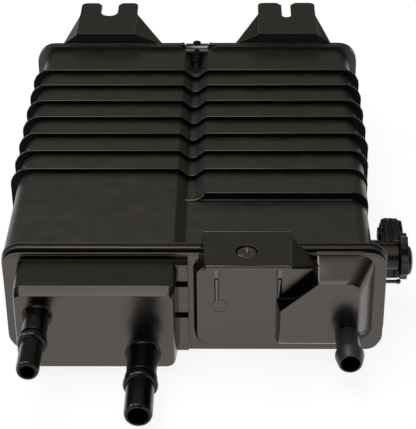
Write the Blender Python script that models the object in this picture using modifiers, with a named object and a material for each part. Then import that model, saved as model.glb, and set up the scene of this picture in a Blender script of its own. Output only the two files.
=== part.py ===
# Charcoal canister for a fuel tank's vapour: a ribbed two-chamber housing with a welded cover at each end.
# Metres, +Z up. It lies flat on its ribs, with its three ports towards -Y.

import math

import bmesh
import bpy
from mathutils import Matrix, Vector

# Clearances and general walls
GAP = 0.0003
WALL = 0.0024
OVERLAP = 0.001
EDGE_SOFT = 0.0008
CORNER_SOFT = 0.0015

# Housing: places along Y are measured from the front face of the front cover's flange
HOUSING_HALF_WIDTH = 0.106
RIB_STAND = 0.0027
PANEL_HEIGHT = 0.0638
CORNER_RADIUS = 0.0095
GROOVE_HALF_WIDTH = 0.0083
GROOVE_DEPTH = 0.005
GROOVE_FLOOR_HALF = 0.002
GROOVE_SOFT = 0.002
PARTITION = 0.0024
STEP_Y = 0.064
STEP_RUN = 0.0012
STEP_SIDE = 0.0005
HOUSING_LENGTH = 0.2497

# Ribs round the housing, counted from the front
RIB_COUNT = 7
RIB_START = 0.0891
RIB_END_ROOM = 0.0366
RIB_THICKNESS = 0.002
RIB_SIDE_STAND = 0.0046
SHORT_RIB_CUTS = (0.0035, 0.0016)

# Welded flanges
FLANGE_THICKNESS = 0.0044
FLANGE_LEFT_INSET = 0.0008
FLANGE_RIGHT_STAND = 0.0056
FLANGE_STAND = 0.0012
COVER_INSET = 0.0017
REAR_FLANGE_STAND = 0.0053
REAR_FLANGE_THICKNESS = 0.0029
DIP_HALF_WIDTH = 0.0138
DIP_FLOOR_HALF = 0.0035
DIP_DEPTH = 0.0067
TRAY_HALF_WIDTH = 0.0092
TRAY_FLOOR_HALF = 0.0078
TRAY_DEPTH = 0.0029

# Locating post in the groove behind the last rib
POST_RADIUS = 0.0028
POST_LENGTH = 0.015
POST_FADE = 0.013
WEB_THICKNESS = 0.0012
WEB_REACH = 0.0085

# Manifold box on the front cover, left
BOX_LEFT_INSET = 0.0094
BOX_LEFT_DRAFT = 0.0004
BOX_RIGHT = 0.0049
BOX_BOTTOM = 0.0045
BOX_TOP = 0.063
BOX_DEPTH = 0.026
BOX_DRAFT = 0.0025
BOX_CHAMFER = 0.0038
BOX_EDGE = 0.0014
BOX_RADIUS = 0.004
MANIFOLD_RIBS = 3
MANIFOLD_RIB = 0.0016
MANIFOLD_RIB_DEPTH = 0.010

# Plain raised panel on the front cover, middle
PANEL_LEFT = 0.0025
PANEL_RIGHT = 0.0745
PANEL_BOTTOM = 0.0055
PANEL_TOP = 0.0625
PANEL_DEPTH = 0.005
PANEL_RADIUS = 0.010
PANEL_DRAFT = 0.0015

# Bar between box and panel, with two notches
BAR_LEFT = 0.0075
BAR_RIGHT = 0.0003
BAR_BOTTOM = 0.003
BAR_TOP = 0.0625
NOTCH_HEIGHT = 0.004
NOTCH_CENTRES = (0.0498, 0.0283)

# Vent box on the front cover, right
VENT_LEFT = 0.0485
VENT_RIGHT_INSET = 0.0011
VENT_BOTTOM = 0.0066
VENT_TOP = 0.066
VENT_DEPTH = 0.015
VENT_SLOPE = 0.0087
VENT_SIDE_DRAFT = 0.0027
VENT_CORNER_Z = 0.041
VENT_CORNER_X = 0.0725
VENT_RADIUS = 0.009

# Ports: two quick-connect stems and one hose barb
PURGE_FROM_BOX_EDGE = 0.0133
PURGE_Z = 0.0432
PURGE_RADIUS = 0.0063
PURGE_LENGTH = 0.0493
TANK_X = -0.0255
TANK_Z = 0.0168
TANK_RADIUS = 0.0079
TANK_LENGTH = 0.0538
STEM_WALL = 0.0021
BEAD_STAND = 0.0019
BEAD_WIDTH = 0.0042
PURGE_BEAD = 0.0245
TANK_BEAD = 0.0265
STEM_ROOT_STAND = 0.0006
STEM_TIP_ROUND = 0.0018
ROOT_FILLET = 0.0013
VENT_FROM_BOX_EDGE = 0.0148
VENT_Z = 0.0203
BARB_RADIUS = 0.0071
BARB_STAND = 0.0011
BARB_LENGTH = 0.0243
BARB_TIP = 0.0068
BARB_PLACE = 0.0075
BARB_WALL = 0.0017
BARB_ROOT = 0.0095

# Mounting tab over the front cover, with its push nut
TAB_RISE = 0.0073
TAB_THICKNESS = 0.0024
TAB_LEFT = 0.0079
TAB_RIGHT = 0.0584
TAB_BACK = 0.0105
TAB_REACH = 0.0237
TAB_TAPER = 0.0022
TAB_WALL = 0.0022
TAB_HOLE_X = 0.0327
TAB_HOLE_Y = -0.0091
TAB_HOLE_RADIUS = 0.0061
SUPPORT_RIB_XS = (0.016, 0.0511)
SUPPORT_RIB_THICKNESS = 0.0025
SUPPORT_RIB_FOOT = 0.040
GUSSET_LAND_X = 0.0735
GUSSET_LEAN = 0.0035
LEFT_GUSSET_SPREAD = 0.002
NUT_FLANGE = 0.0016
NUT_THICKNESS = 0.0012
NUT_SLOT_WIDTH = 0.0013
NUT_SLOT_REACH = 0.0043
NUT_EYE = 0.0014

# Rear cover: dished back with two notched tongues
DISH_DEPTH = 0.008
DISH_INSET = 0.007
DISH_DRAFT = 0.003
TONGUE_TOP = 0.077
TONGUE_THICKNESS = 0.0026
TONGUE_FROM_SIDE = 0.0426
TONGUE_HALF_WIDTH = 0.0203
TONGUE_REACH = 0.0485
TONGUE_CORNER = 0.004
HOOD_WALL = 0.0026
HOOD_REACH = 0.0335
HOOD_OUTER_FLARE = 0.0102
HOOD_INNER_FLARES = (0.0195, 0.0168)
HOOD_DROP = 0.022
NOTCH_OFFSETS = (0.0003, -0.0002)
NOTCH_WIDTHS = (0.0118, 0.0064)
NOTCH_DEPTHS = (0.0211, 0.0237)
NOTCH_MOUTHS = (0.0027, 0.0035)
MOUTH_DEPTH = 0.004
NUB_RADIUS = 0.0019
NUB_CONE = 0.0042

# Packing inside each chamber, from the front cover back to the springs
FRONT_FILTER = 0.006
REAR_FILTER = 0.005
PLATE_THICKNESS = 0.003
SPRING_ROOM = 0.037
PLATE_HOLE_RADIUS = 0.003
PLATE_HOLE_COLUMNS = 5
PLATE_HOLE_ROWS = 4
SEAT_RADIUS = 0.0085
SEAT_HEIGHT = 0.004
SPRING_RADIUS = 0.0105
SPRING_WIRE = 0.0009
SPRING_TURNS = 4
SPRING_POINTS_PER_TURN = 11
SPRINGS_PER_PLATE = 2

# Vent valve on the right side of the housing
VALVE_Y = 0.030
VALVE_Z = 0.045
PORT_BOSS_RADIUS = 0.0095
PORT_BOSS_STAND = 0.0025
VALVE_RADIUS = 0.008
VALVE_LENGTH = 0.0132
SPIGOT_RADIUS = 0.0042
SPIGOT_LENGTH = 0.0045
SEAL_WIRE = 0.0006
CAP_RADIUS = 0.0125
CAP_RIM = 0.0042
CAP_LOBES = 10
CAP_LOBE_STAND = 0.001
CAP_LOBE_VALLEY = 0.3
CAP_DOME = 0.0034
CAP_DOME_RADIUS = 0.0092
CAP_DOME_DROP = 0.003
CONNECTOR_SET_BACK = 0.0029
CONNECTOR_HALF_WIDTH = 0.0069
CONNECTOR_HALF_HEIGHT = 0.0062
CONNECTOR_LENGTH = 0.0204
CONNECTOR_RAIL = 0.0012
CONNECTOR_RAIL_BACK = 0.0055
CONNECTOR_WALL = 0.0013
CONNECTOR_POCKET = 0.0125
GRIP_RIBS = 5
GRIP_RIB_STAND = 0.0009
GRIP_RIB_WIDTH = 0.0014
TERMINAL_PITCH = 0.004
TERMINAL_SIDE = 0.0008
TERMINAL_LENGTH = 0.009
LUG_DROP = 0.0135
LUG_WIDTH = 0.0105
LUG_DEPTH = 0.006
PEG_RADIUS = 0.0011
PEG_BALL = 0.0016
PEG_DROP = 0.0181
PEG_REACH = 0.0145

# Worked out from the sizes above
COVER_BACK = FLANGE_THICKNESS
HOUSING_FRONT = COVER_BACK + GAP
HOUSING_BACK = HOUSING_FRONT + HOUSING_LENGTH
REAR_COVER_FRONT = HOUSING_BACK + GAP
REAR_COVER_BACK = REAR_COVER_FRONT + REAR_FLANGE_THICKNESS
PORT_BORE_RADIUS = SPIGOT_RADIUS + 2 * SEAL_WIRE + 2 * GAP
PANEL_LOW = RIB_STAND
PANEL_HIGH = RIB_STAND + PANEL_HEIGHT
RIB_HIGH = PANEL_HIGH + RIB_STAND
GROOVE_FLOOR = PANEL_HIGH - GROOVE_DEPTH
FLANGE_HIGH = PANEL_HIGH + FLANGE_STAND
FLANGE_LEFT = HOUSING_HALF_WIDTH - FLANGE_LEFT_INSET
FLANGE_RIGHT = HOUSING_HALF_WIDTH + FLANGE_RIGHT_STAND
RIB_PITCH = (HOUSING_BACK - RIB_END_ROOM - RIB_START) / (RIB_COUNT - 1)
BOX_LEFT = HOUSING_HALF_WIDTH - BOX_LEFT_INSET
VENT_RIGHT = HOUSING_HALF_WIDTH - VENT_RIGHT_INSET
PURGE_X = PURGE_FROM_BOX_EDGE - BOX_LEFT
VENT_X = VENT_RIGHT - VENT_FROM_BOX_EDGE
TONGUE_CENTRE = HOUSING_HALF_WIDTH - TONGUE_FROM_SIDE
PLATE_BACK = REAR_COVER_BACK + DISH_DEPTH - WALL - SPRING_ROOM
TONGUE_END = REAR_COVER_BACK + TONGUE_REACH
TAB_TOP = FLANGE_HIGH + TAB_RISE
TAB_LOW = TAB_TOP - TAB_THICKNESS
SIDE_X = HOUSING_HALF_WIDTH - STEP_SIDE
VALVE_START = SIDE_X + PORT_BOSS_STAND + GAP
VALVE_END = VALVE_START + VALVE_LENGTH
CONNECTOR_X = VALVE_END - CONNECTOR_SET_BACK
CAP_END = VALVE_END + GAP + CAP_RIM + CAP_DOME
TANK_TIP = BOX_DEPTH + TANK_LENGTH
REAR_HALF_WIDTH = HOUSING_HALF_WIDTH + REAR_FLANGE_STAND
ORIGIN_X = (CAP_END - REAR_HALF_WIDTH) / 2
ORIGIN_Y = (TONGUE_END - TANK_TIP) / 2


# Scene, collections and materials

for old in list(bpy.data.objects):
    bpy.data.objects.remove(old, do_unlink=True)

parts = bpy.data.collections.new("charcoal_canister")
helpers = bpy.data.collections.new("charcoal_canister_cutters")
bpy.context.scene.collection.children.link(parts)
bpy.context.scene.collection.children.link(helpers)

origin = bpy.data.objects.new("canister_origin", None)
origin.location = (-ORIGIN_X, -ORIGIN_Y, 0)
parts.objects.link(origin)


def material(name, colour, roughness, metallic=0.0):
    made = bpy.data.materials.new(name)
    made.use_nodes = True
    shader = made.node_tree.nodes["Principled BSDF"]
    shader.inputs["Base Color"].default_value = (*colour, 1)
    shader.inputs["Roughness"].default_value = roughness
    shader.inputs["Metallic"].default_value = metallic
    return made


HOUSING_PLASTIC = material("housing_plastic", (0.022, 0.021, 0.020), 0.36)
PORT_PLASTIC = material("cover_plastic", (0.020, 0.020, 0.021), 0.32)
VALVE_PLASTIC = material("valve_plastic", (0.016, 0.016, 0.016), 0.45)
CARBON = material("carbon_pellets", (0.010, 0.010, 0.010), 0.80)
FELT = material("filter_felt", (0.62, 0.61, 0.57), 0.95)
PLATE_PLASTIC = material("plate_plastic", (0.035, 0.035, 0.035), 0.50)
SPRING_STEEL = material("spring_steel", (0.55, 0.55, 0.56), 0.30, 1.0)
SEAL_RUBBER = material("seal_rubber", (0.012, 0.012, 0.012), 0.60)
TERMINAL_TIN = material("terminal_tin", (0.70, 0.69, 0.66), 0.28, 1.0)
NUT_STEEL = material("nut_steel", (0.12, 0.115, 0.10), 0.42, 1.0)


# Outlines, as lists of (x, z) points

def rounded(corners):
    """The outline through corners (x, z, radius, segments), with each corner rounded."""
    points = []
    count = len(corners)
    for i, (x, z, radius, segments) in enumerate(corners):
        here = Vector((x, z))
        before = (Vector(corners[i - 1][:2]) - here).normalized()
        after = (Vector(corners[(i + 1) % count][:2]) - here).normalized()
        half = before.angle(after) / 2
        if radius <= 0 or half > math.radians(89.5):
            points += [here] * (segments + 1) if radius > 0 else [here]
            continue
        middle = here + (before + after).normalized() * (radius / math.sin(half))
        start = here + before * (radius / math.tan(half)) - middle
        turn = math.pi - 2 * half
        side = 1 if before.cross(after) < 0 else -1
        for k in range(segments + 1):
            angle = side * turn * k / segments
            spoke = Matrix.Rotation(angle, 2) @ start
            points.append(middle + spoke)
    return [(p.x, p.y) for p in points]


def grooved(left, right, low, high, radius, floor_left, floor_right, high_right):
    """A chamber pair's outline, with its groove above and below; it runs round from the top left."""
    groove, floor = GROOVE_HALF_WIDTH, GROOVE_FLOOR_HALF
    soft = GROOVE_SOFT
    return rounded([
        (left, high, radius, 5),
        (-groove, high, soft, 1),
        (-floor, floor_left, soft, 1),
        (floor, floor_right, soft, 1),
        (groove, high_right, soft, 1),
        (right, high_right, radius, 5),
        (right, low, radius, 5),
        (groove, low, soft, 1),
        (floor, low + GROOVE_DEPTH, soft, 1),
        (-floor, low + GROOVE_DEPTH, soft, 1),
        (-groove, low, soft, 1),
        (left, low, radius, 5),
    ])


def panel_outline():
    width = HOUSING_HALF_WIDTH
    return grooved(-width, width, PANEL_LOW, PANEL_HIGH, CORNER_RADIUS, GROOVE_FLOOR, GROOVE_FLOOR, PANEL_HIGH)


def stepped_outline():
    """The housing in front of the step, where the vent chamber is lower and narrower."""
    return grooved(
        -HOUSING_HALF_WIDTH, SIDE_X, PANEL_LOW, PANEL_HIGH, CORNER_RADIUS, GROOVE_FLOOR, GROOVE_FLOOR, GROOVE_FLOOR
    )


def rib_outline(right_cut):
    left = -HOUSING_HALF_WIDTH - RIB_SIDE_STAND
    right = HOUSING_HALF_WIDTH + RIB_SIDE_STAND - right_cut
    floor = RIB_HIGH - GROOVE_DEPTH
    return grooved(left, right, 0, RIB_HIGH, CORNER_RADIUS + RIB_STAND, floor, floor, RIB_HIGH)


def front_flange_outline(inset=0.0):
    """The front flange, smaller by inset on its top and sides."""
    left, right, high = -FLANGE_LEFT + inset, FLANGE_RIGHT - inset, FLANGE_HIGH - inset
    radius = CORNER_RADIUS - inset
    return rounded([(left, high, radius, 5), (right, high, radius, 5), (right, 0, radius, 5), (left, 0, radius, 5)])


def rear_flange_outline(inset=0.0, dip=(TRAY_HALF_WIDTH, TRAY_FLOOR_HALF, TRAY_DEPTH)):
    """The rear flange, dipped in the middle: dip holds half the mouth, half the floor and the depth."""
    mouth, flat, depth = dip
    side = REAR_HALF_WIDTH - inset
    high = RIB_HIGH - inset
    radius = CORNER_RADIUS + RIB_STAND - inset
    floor = RIB_HIGH - depth - inset
    return rounded([
        (-side, high, radius, 6),
        (-mouth - inset, high, 0, 0),
        (-flat - inset, floor, CORNER_SOFT, 3),
        (flat + inset, floor, CORNER_SOFT, 3),
        (mouth + inset, high, 0, 0),
        (side, high, radius, 6),
        (side, inset, radius, 6),
        (-side, inset, radius, 6),
    ])


def chamber_outline(side, outer, high, inset):
    """Inside of one chamber: side is -1 for the main one and 1 for the vent one."""
    low = PANEL_LOW + WALL + inset
    top = high - WALL - inset
    partition = PARTITION / 2 + inset
    shoulder = GROOVE_HALF_WIDTH + WALL / 2 + inset
    toe = GROOVE_FLOOR_HALF + WALL / 2 + inset
    floor = min(top, GROOVE_FLOOR - WALL - inset)
    radius = CORNER_RADIUS - WALL - inset
    edge = outer - WALL - inset
    corners = [
        (side * edge, top, radius, 6),
        (side * shoulder, top, 0, 0),
        (side * toe, floor, 0, 0),
        (side * partition, floor, 0, 0),
        (side * partition, low + GROOVE_DEPTH, 0, 0),
        (side * toe, low + GROOVE_DEPTH, 0, 0),
        (side * shoulder, low, 0, 0),
        (side * edge, low, radius, 6),
    ]
    if top <= floor:
        del corners[1:3]
    return rounded(corners if side < 0 else corners[::-1])


# Solids

def finish(obj, surface, collection):
    obj.data.materials.clear()
    if surface:
        obj.data.materials.append(surface)
    collection.objects.link(obj)
    if collection is helpers:
        obj.hide_render = True
        obj.display_type = "WIRE"
    obj.parent = origin
    return obj


def smooth(obj):
    obj.data.shade_smooth()
    obj.data.set_sharp_from_angle(angle=math.radians(32))


def mesh_of_curve(curve_obj, surface, collection):
    """The curve's evaluated mesh as an object of its own, with its caps welded on."""
    bpy.context.scene.collection.objects.link(curve_obj)
    bpy.context.view_layer.update()
    graph = bpy.context.evaluated_depsgraph_get()
    mesh = bpy.data.meshes.new_from_object(curve_obj.evaluated_get(graph))
    welded = bmesh.new()
    welded.from_mesh(mesh)
    bmesh.ops.remove_doubles(welded, verts=welded.verts, dist=0.000002)
    bmesh.ops.recalc_face_normals(welded, faces=welded.faces)
    welded.to_mesh(mesh)
    welded.free()
    name = curve_obj.name
    place = curve_obj.matrix_world.copy()
    old = curve_obj.data
    bpy.data.objects.remove(curve_obj, do_unlink=True)
    bpy.data.curves.remove(old)
    made = bpy.data.objects.new(name, mesh)
    mesh.name = name
    mesh.transform(place)
    return finish(made, surface, collection)


def plate(name, outlines, low, high, axis="Y", surface=None, collection=None):
    """Flat stock: outlines (the first is the rim, others are holes) drawn across the axis, from low to high."""
    curve = bpy.data.curves.new(name, "CURVE")
    curve.dimensions = "2D"
    curve.fill_mode = "BOTH"
    curve.extrude = (high - low) / 2
    for outline in outlines:
        spline = curve.splines.new("POLY")
        spline.points.add(len(outline) - 1)
        for point, (u, v) in zip(spline.points, outline):
            point.co = (u, v, 0, 1)
        spline.use_cyclic_u = True
    obj = bpy.data.objects.new(name, curve)
    middle = (low + high) / 2
    if axis == "Y":
        obj.matrix_world = Matrix.Translation((0, middle, 0)) @ Matrix.Rotation(math.pi / 2, 4, "X")
    elif axis == "X":
        turn = Matrix.Rotation(math.pi / 2, 4, "Z") @ Matrix.Rotation(math.pi / 2, 4, "X")
        obj.matrix_world = Matrix.Translation((middle, 0, 0)) @ turn
    else:
        obj.matrix_world = Matrix.Translation((0, 0, middle))
    return mesh_of_curve(obj, surface, collection or helpers)


def loft(name, sections, surface=None, collection=None):
    """A closed body through sections (y, outline), all with the same number of points."""
    made = bmesh.new()
    rings = [[made.verts.new((x, y, z)) for x, z in outline] for y, outline in sections]
    count = len(rings[0])
    for near, far in zip(rings, rings[1:]):
        for i in range(count):
            k = (i + 1) % count
            made.faces.new((near[i], near[k], far[k], far[i]))
    made.faces.new(rings[0][::-1])
    made.faces.new(rings[-1])
    bmesh.ops.remove_doubles(made, verts=made.verts, dist=0.000002)
    bmesh.ops.recalc_face_normals(made, faces=made.faces)
    mesh = bpy.data.meshes.new(name)
    made.to_mesh(mesh)
    made.free()
    return finish(bpy.data.objects.new(name, mesh), surface, collection or helpers)


def hull(name, points, surface=None, collection=None):
    """The body stretched tight round the points: gussets and hood walls."""
    made = bmesh.new()
    for point in points:
        made.verts.new(point)
    bmesh.ops.convex_hull(made, input=made.verts)
    loose = [v for v in made.verts if not v.link_faces]
    bmesh.ops.delete(made, geom=loose, context="VERTS")
    bmesh.ops.recalc_face_normals(made, faces=made.faces)
    mesh = bpy.data.meshes.new(name)
    made.to_mesh(mesh)
    made.free()
    return finish(bpy.data.objects.new(name, mesh), surface, collection or helpers)


def turned(name, profile, place, steps=24, surface=None, collection=None):
    """A profile of (radius, height) from top to bottom, closed on its own axis or on itself, turned round Z and placed."""
    mesh = bpy.data.meshes.new(name)
    closed = profile[0][0] > 0
    edges = [(i, i + 1) for i in range(len(profile) - 1)]
    if closed:
        edges.append((len(profile) - 1, 0))
    mesh.from_pydata([(r, 0, h) for r, h in profile], edges, [])
    obj = bpy.data.objects.new(name, mesh)
    finish(obj, surface, collection or helpers)
    screw = obj.modifiers.new("turn", "SCREW")
    screw.axis = "Z"
    screw.steps = steps
    screw.render_steps = steps
    screw.use_merge_vertices = True
    screw.merge_threshold = 0.00001
    screw.use_smooth_shade = True
    obj.matrix_local = place
    return obj


def cylinder(name, radius, length, place, steps=24):
    """A plain round bar along the place's Z, centred on it."""
    half = length / 2
    return turned(name, [(0, half), (radius, half), (radius, -half), (0, -half)], place, steps)


def boolean(target, tool, operation):
    step = target.modifiers.new(operation.lower() + " " + tool.name, "BOOLEAN")
    step.operation = operation
    step.solver = "EXACT"
    step.object = tool
    return target


def add(target, *tools):
    for tool in tools:
        boolean(target, tool, "UNION")


def cut(target, *tools):
    for tool in tools:
        boolean(target, tool, "DIFFERENCE")


def along_y(x, z, y, towards=-1):
    """A place whose Z runs along Y, to the front by default."""
    return Matrix.Translation((x, y, z)) @ Matrix.Rotation(-towards * math.pi / 2, 4, "X")


def along_x(x, y, z):
    return Matrix.Translation((x, y, z)) @ Matrix.Rotation(math.pi / 2, 4, "Y")


# Housing: one moulding, open at both ends, with a partition between the chambers

def housing():
    body = loft(
        "canister_housing",
        [
            (HOUSING_FRONT + FLANGE_THICKNESS / 2, stepped_outline()),
            (STEP_Y, stepped_outline()),
            (STEP_Y + STEP_RUN, panel_outline()),
            (HOUSING_BACK - REAR_FLANGE_THICKNESS / 2, panel_outline()),
        ],
        HOUSING_PLASTIC,
        parts,
    )
    flange_back = HOUSING_FRONT + FLANGE_THICKNESS
    add(body, plate("front_weld_flange", [front_flange_outline()], HOUSING_FRONT, flange_back))
    for i in range(RIB_COUNT):
        right_cut = SHORT_RIB_CUTS[i] if i < len(SHORT_RIB_CUTS) else 0
        back = RIB_START + RIB_PITCH * i + RIB_THICKNESS / 2
        add(body, plate("rib_%d" % (i + 1), [rib_outline(right_cut)], back - RIB_THICKNESS, back))
    rear_front = HOUSING_BACK - REAR_FLANGE_THICKNESS
    dipped = rear_flange_outline(0, (DIP_HALF_WIDTH, DIP_FLOOR_HALF, DIP_DEPTH))
    add(body, plate("rear_weld_flange", [dipped], rear_front, HOUSING_BACK))
    add(body, *groove_post(rear_front))
    boss_length = PORT_BOSS_STAND + WALL
    boss_middle = SIDE_X + PORT_BOSS_STAND - boss_length / 2
    add(body, cylinder("valve_boss", PORT_BOSS_RADIUS, boss_length, along_x(boss_middle, VALVE_Y, VALVE_Z)))
    add(body, *side_peg())
    far = 2 * OVERLAP
    main = chamber_outline(-1, HOUSING_HALF_WIDTH, PANEL_HIGH, 0)
    cut(body, plate("main_chamber", [main], HOUSING_FRONT - far, HOUSING_BACK + far))
    narrow = chamber_outline(1, SIDE_X, GROOVE_FLOOR, 0)
    wide = chamber_outline(1, HOUSING_HALF_WIDTH, PANEL_HIGH, 0)
    cut(body, plate("vent_chamber_front", [narrow], HOUSING_FRONT - far, STEP_Y + WALL + OVERLAP))
    cut(body, plate("vent_chamber_back", [wide], STEP_Y + WALL, HOUSING_BACK + far))
    bore_length = boss_length + 2 * WALL
    cut(body, cylinder("valve_bore", PORT_BORE_RADIUS, bore_length, along_x(SIDE_X, VALVE_Y, VALVE_Z)))
    smooth(body)
    return body


def side_peg():
    """Thin locating peg with a ball end, below the valve."""
    height = VALVE_Z - PEG_DROP
    end = SIDE_X + PEG_REACH
    start = SIDE_X - WALL / 2
    peg = cylinder("side_peg", PEG_RADIUS, end - start, along_x((start + end) / 2, VALVE_Y, height), 12)
    return peg, ball("side_peg_ball", PEG_BALL, (end, VALVE_Y, height))


def groove_post(flange_front):
    """Post lying in the groove, fading into its floor, and two webs that brace it."""
    height = GROOVE_FLOOR + POST_RADIUS * 0.9
    post_front = flange_front - POST_LENGTH
    post = turned(
        "groove_post",
        [
            (0, POST_LENGTH + OVERLAP),
            (POST_RADIUS, POST_LENGTH + OVERLAP),
            (POST_RADIUS, POST_RADIUS / 2),
            (POST_RADIUS * 0.7, 0),
            (0, 0),
        ],
        along_y(0, height, post_front, towards=1),
        16,
    )
    half = POST_RADIUS * 0.8
    fade = hull(
        "groove_post_fade",
        [
            (-half, post_front + OVERLAP, GROOVE_FLOOR - OVERLAP),
            (half, post_front + OVERLAP, GROOVE_FLOOR - OVERLAP),
            (-half / 2, post_front + OVERLAP, height + half / 2),
            (half / 2, post_front + OVERLAP, height + half / 2),
            (-half, post_front - POST_FADE, GROOVE_FLOOR - OVERLAP),
            (half, post_front - POST_FADE, GROOVE_FLOOR - OVERLAP),
        ],
    )
    web = plate(
        "groove_web",
        [[
            (-WEB_REACH, PANEL_HIGH - GAP),
            (0, height + half),
            (WEB_REACH, PANEL_HIGH - GAP),
            (WEB_REACH / 2, GROOVE_FLOOR - OVERLAP),
            (-WEB_REACH / 2, GROOVE_FLOOR - OVERLAP),
        ]],
        flange_front - 2 * WEB_THICKNESS,
        flange_front - WEB_THICKNESS,
    )
    return post, fade, web


# Front cover: one moulding with the manifold box, the plain panel, the vent box, three ports and the tab

def box_outline(grow_side, drop_top, edge):
    left = -BOX_LEFT + grow_side * BOX_LEFT_DRAFT / BOX_DRAFT + edge
    return rounded([
        (left, BOX_TOP - drop_top, BOX_RADIUS, 4),
        (-BOX_RIGHT - grow_side - edge, BOX_TOP - drop_top, BOX_RADIUS, 4),
        (-BOX_RIGHT - grow_side - edge, BOX_BOTTOM + grow_side + edge, BOX_RADIUS, 4),
        (left, BOX_BOTTOM + grow_side + edge, BOX_RADIUS, 4),
    ])


def vent_outline(depth, inset=0.0):
    """The vent box's outline at a depth in front of the flange; its upper left corner is cut across."""
    share = depth / VENT_DEPTH
    slope = VENT_SLOPE * share + inset
    draft = VENT_SIDE_DRAFT * share + inset
    left = VENT_LEFT + draft
    low = VENT_BOTTOM + slope
    high = VENT_TOP - slope
    right = VENT_RIGHT - slope
    return rounded([
        (left, VENT_CORNER_Z - VENT_SIDE_DRAFT * share, CORNER_SOFT, 2),
        (VENT_CORNER_X, high, CORNER_SOFT, 2),
        (right, high, VENT_RADIUS, 6),
        (right, low, VENT_RADIUS, 6),
        (left, low, CORNER_SOFT, 2),
    ])


def panel_front(inset):
    return rounded([
        (PANEL_LEFT + inset, PANEL_TOP - inset, BOX_RADIUS, 3),
        (PANEL_RIGHT, PANEL_TOP - inset, 0, 0),
        (PANEL_RIGHT, PANEL_BOTTOM + inset, 0, 0),
        (PANEL_LEFT + inset, PANEL_BOTTOM + inset, PANEL_RADIUS - inset, 6),
    ])


def stem(name, x, z, radius, length, bead):
    """A quick-connect stem: fillet, shank, bead and rounded tip, drawn from its tip to its root."""
    root = radius + STEM_ROOT_STAND
    tip = radius - STEM_TIP_ROUND
    profile = [
        (0, length),
        (tip, length),
        (tip + STEM_TIP_ROUND * 0.7, length - STEM_TIP_ROUND * 0.35),
        (radius, length - STEM_TIP_ROUND * 1.4),
        (radius, length - bead + BEAD_WIDTH / 2),
        (radius + BEAD_STAND * 0.75, length - bead + BEAD_WIDTH * 0.4),
        (radius + BEAD_STAND, length - bead + BEAD_WIDTH * 0.15),
        (radius + BEAD_STAND, length - bead - BEAD_WIDTH * 0.15),
        (radius + BEAD_STAND * 0.75, length - bead - BEAD_WIDTH * 0.4),
        (radius + STEM_ROOT_STAND * 0.4, length - bead - BEAD_WIDTH / 2),
        (root, ROOT_FILLET),
        (root + ROOT_FILLET * 0.35, ROOT_FILLET * 0.35),
        (root + ROOT_FILLET, 0),
        (root + ROOT_FILLET, -WALL / 2),
        (0, -WALL / 2),
    ]
    return turned(name, profile, along_y(x, z, -BOX_DEPTH))


def barb(name, x, z):
    """The vent port's hose barb, from tip to root."""
    ridge = BARB_RADIUS + BARB_STAND
    profile = [
        (0, BARB_LENGTH),
        (BARB_TIP - EDGE_SOFT, BARB_LENGTH),
        (BARB_TIP, BARB_LENGTH - EDGE_SOFT),
        (ridge, BARB_LENGTH - BARB_PLACE + EDGE_SOFT),
        (ridge, BARB_LENGTH - BARB_PLACE - EDGE_SOFT),
        (BARB_RADIUS, BARB_LENGTH - BARB_PLACE - 2 * EDGE_SOFT),
        (BARB_RADIUS, -BARB_ROOT),
        (0, -BARB_ROOT),
    ]
    return turned(name, profile, along_y(x, z, -VENT_DEPTH))


def bore(name, x, z, radius, front, back):
    return cylinder(name, radius, back - front, along_y(x, z, (front + back) / 2), 20)


def side_gusset(name, hand, edge, back_foot, front_foot):
    """A slanted wall from the tab's edge down to two feet on the cover."""
    bury = TAB_THICKNESS / 4
    back_top = (edge - hand * bury, TAB_BACK - TAB_WALL / 2, TAB_TOP - bury)
    front_top = (edge - hand * (bury + TAB_TAPER), -TAB_REACH + OVERLAP, TAB_TOP - bury)
    points = []
    for point in (back_top, front_top):
        points += [point, (point[0] - hand * TAB_WALL, point[1], TAB_LOW + bury)]
    for point in (back_foot, front_foot):
        points += [point, (point[0] - hand * TAB_WALL, point[1], point[2] - TAB_WALL / 2)]
    return hull(name, points)


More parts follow.
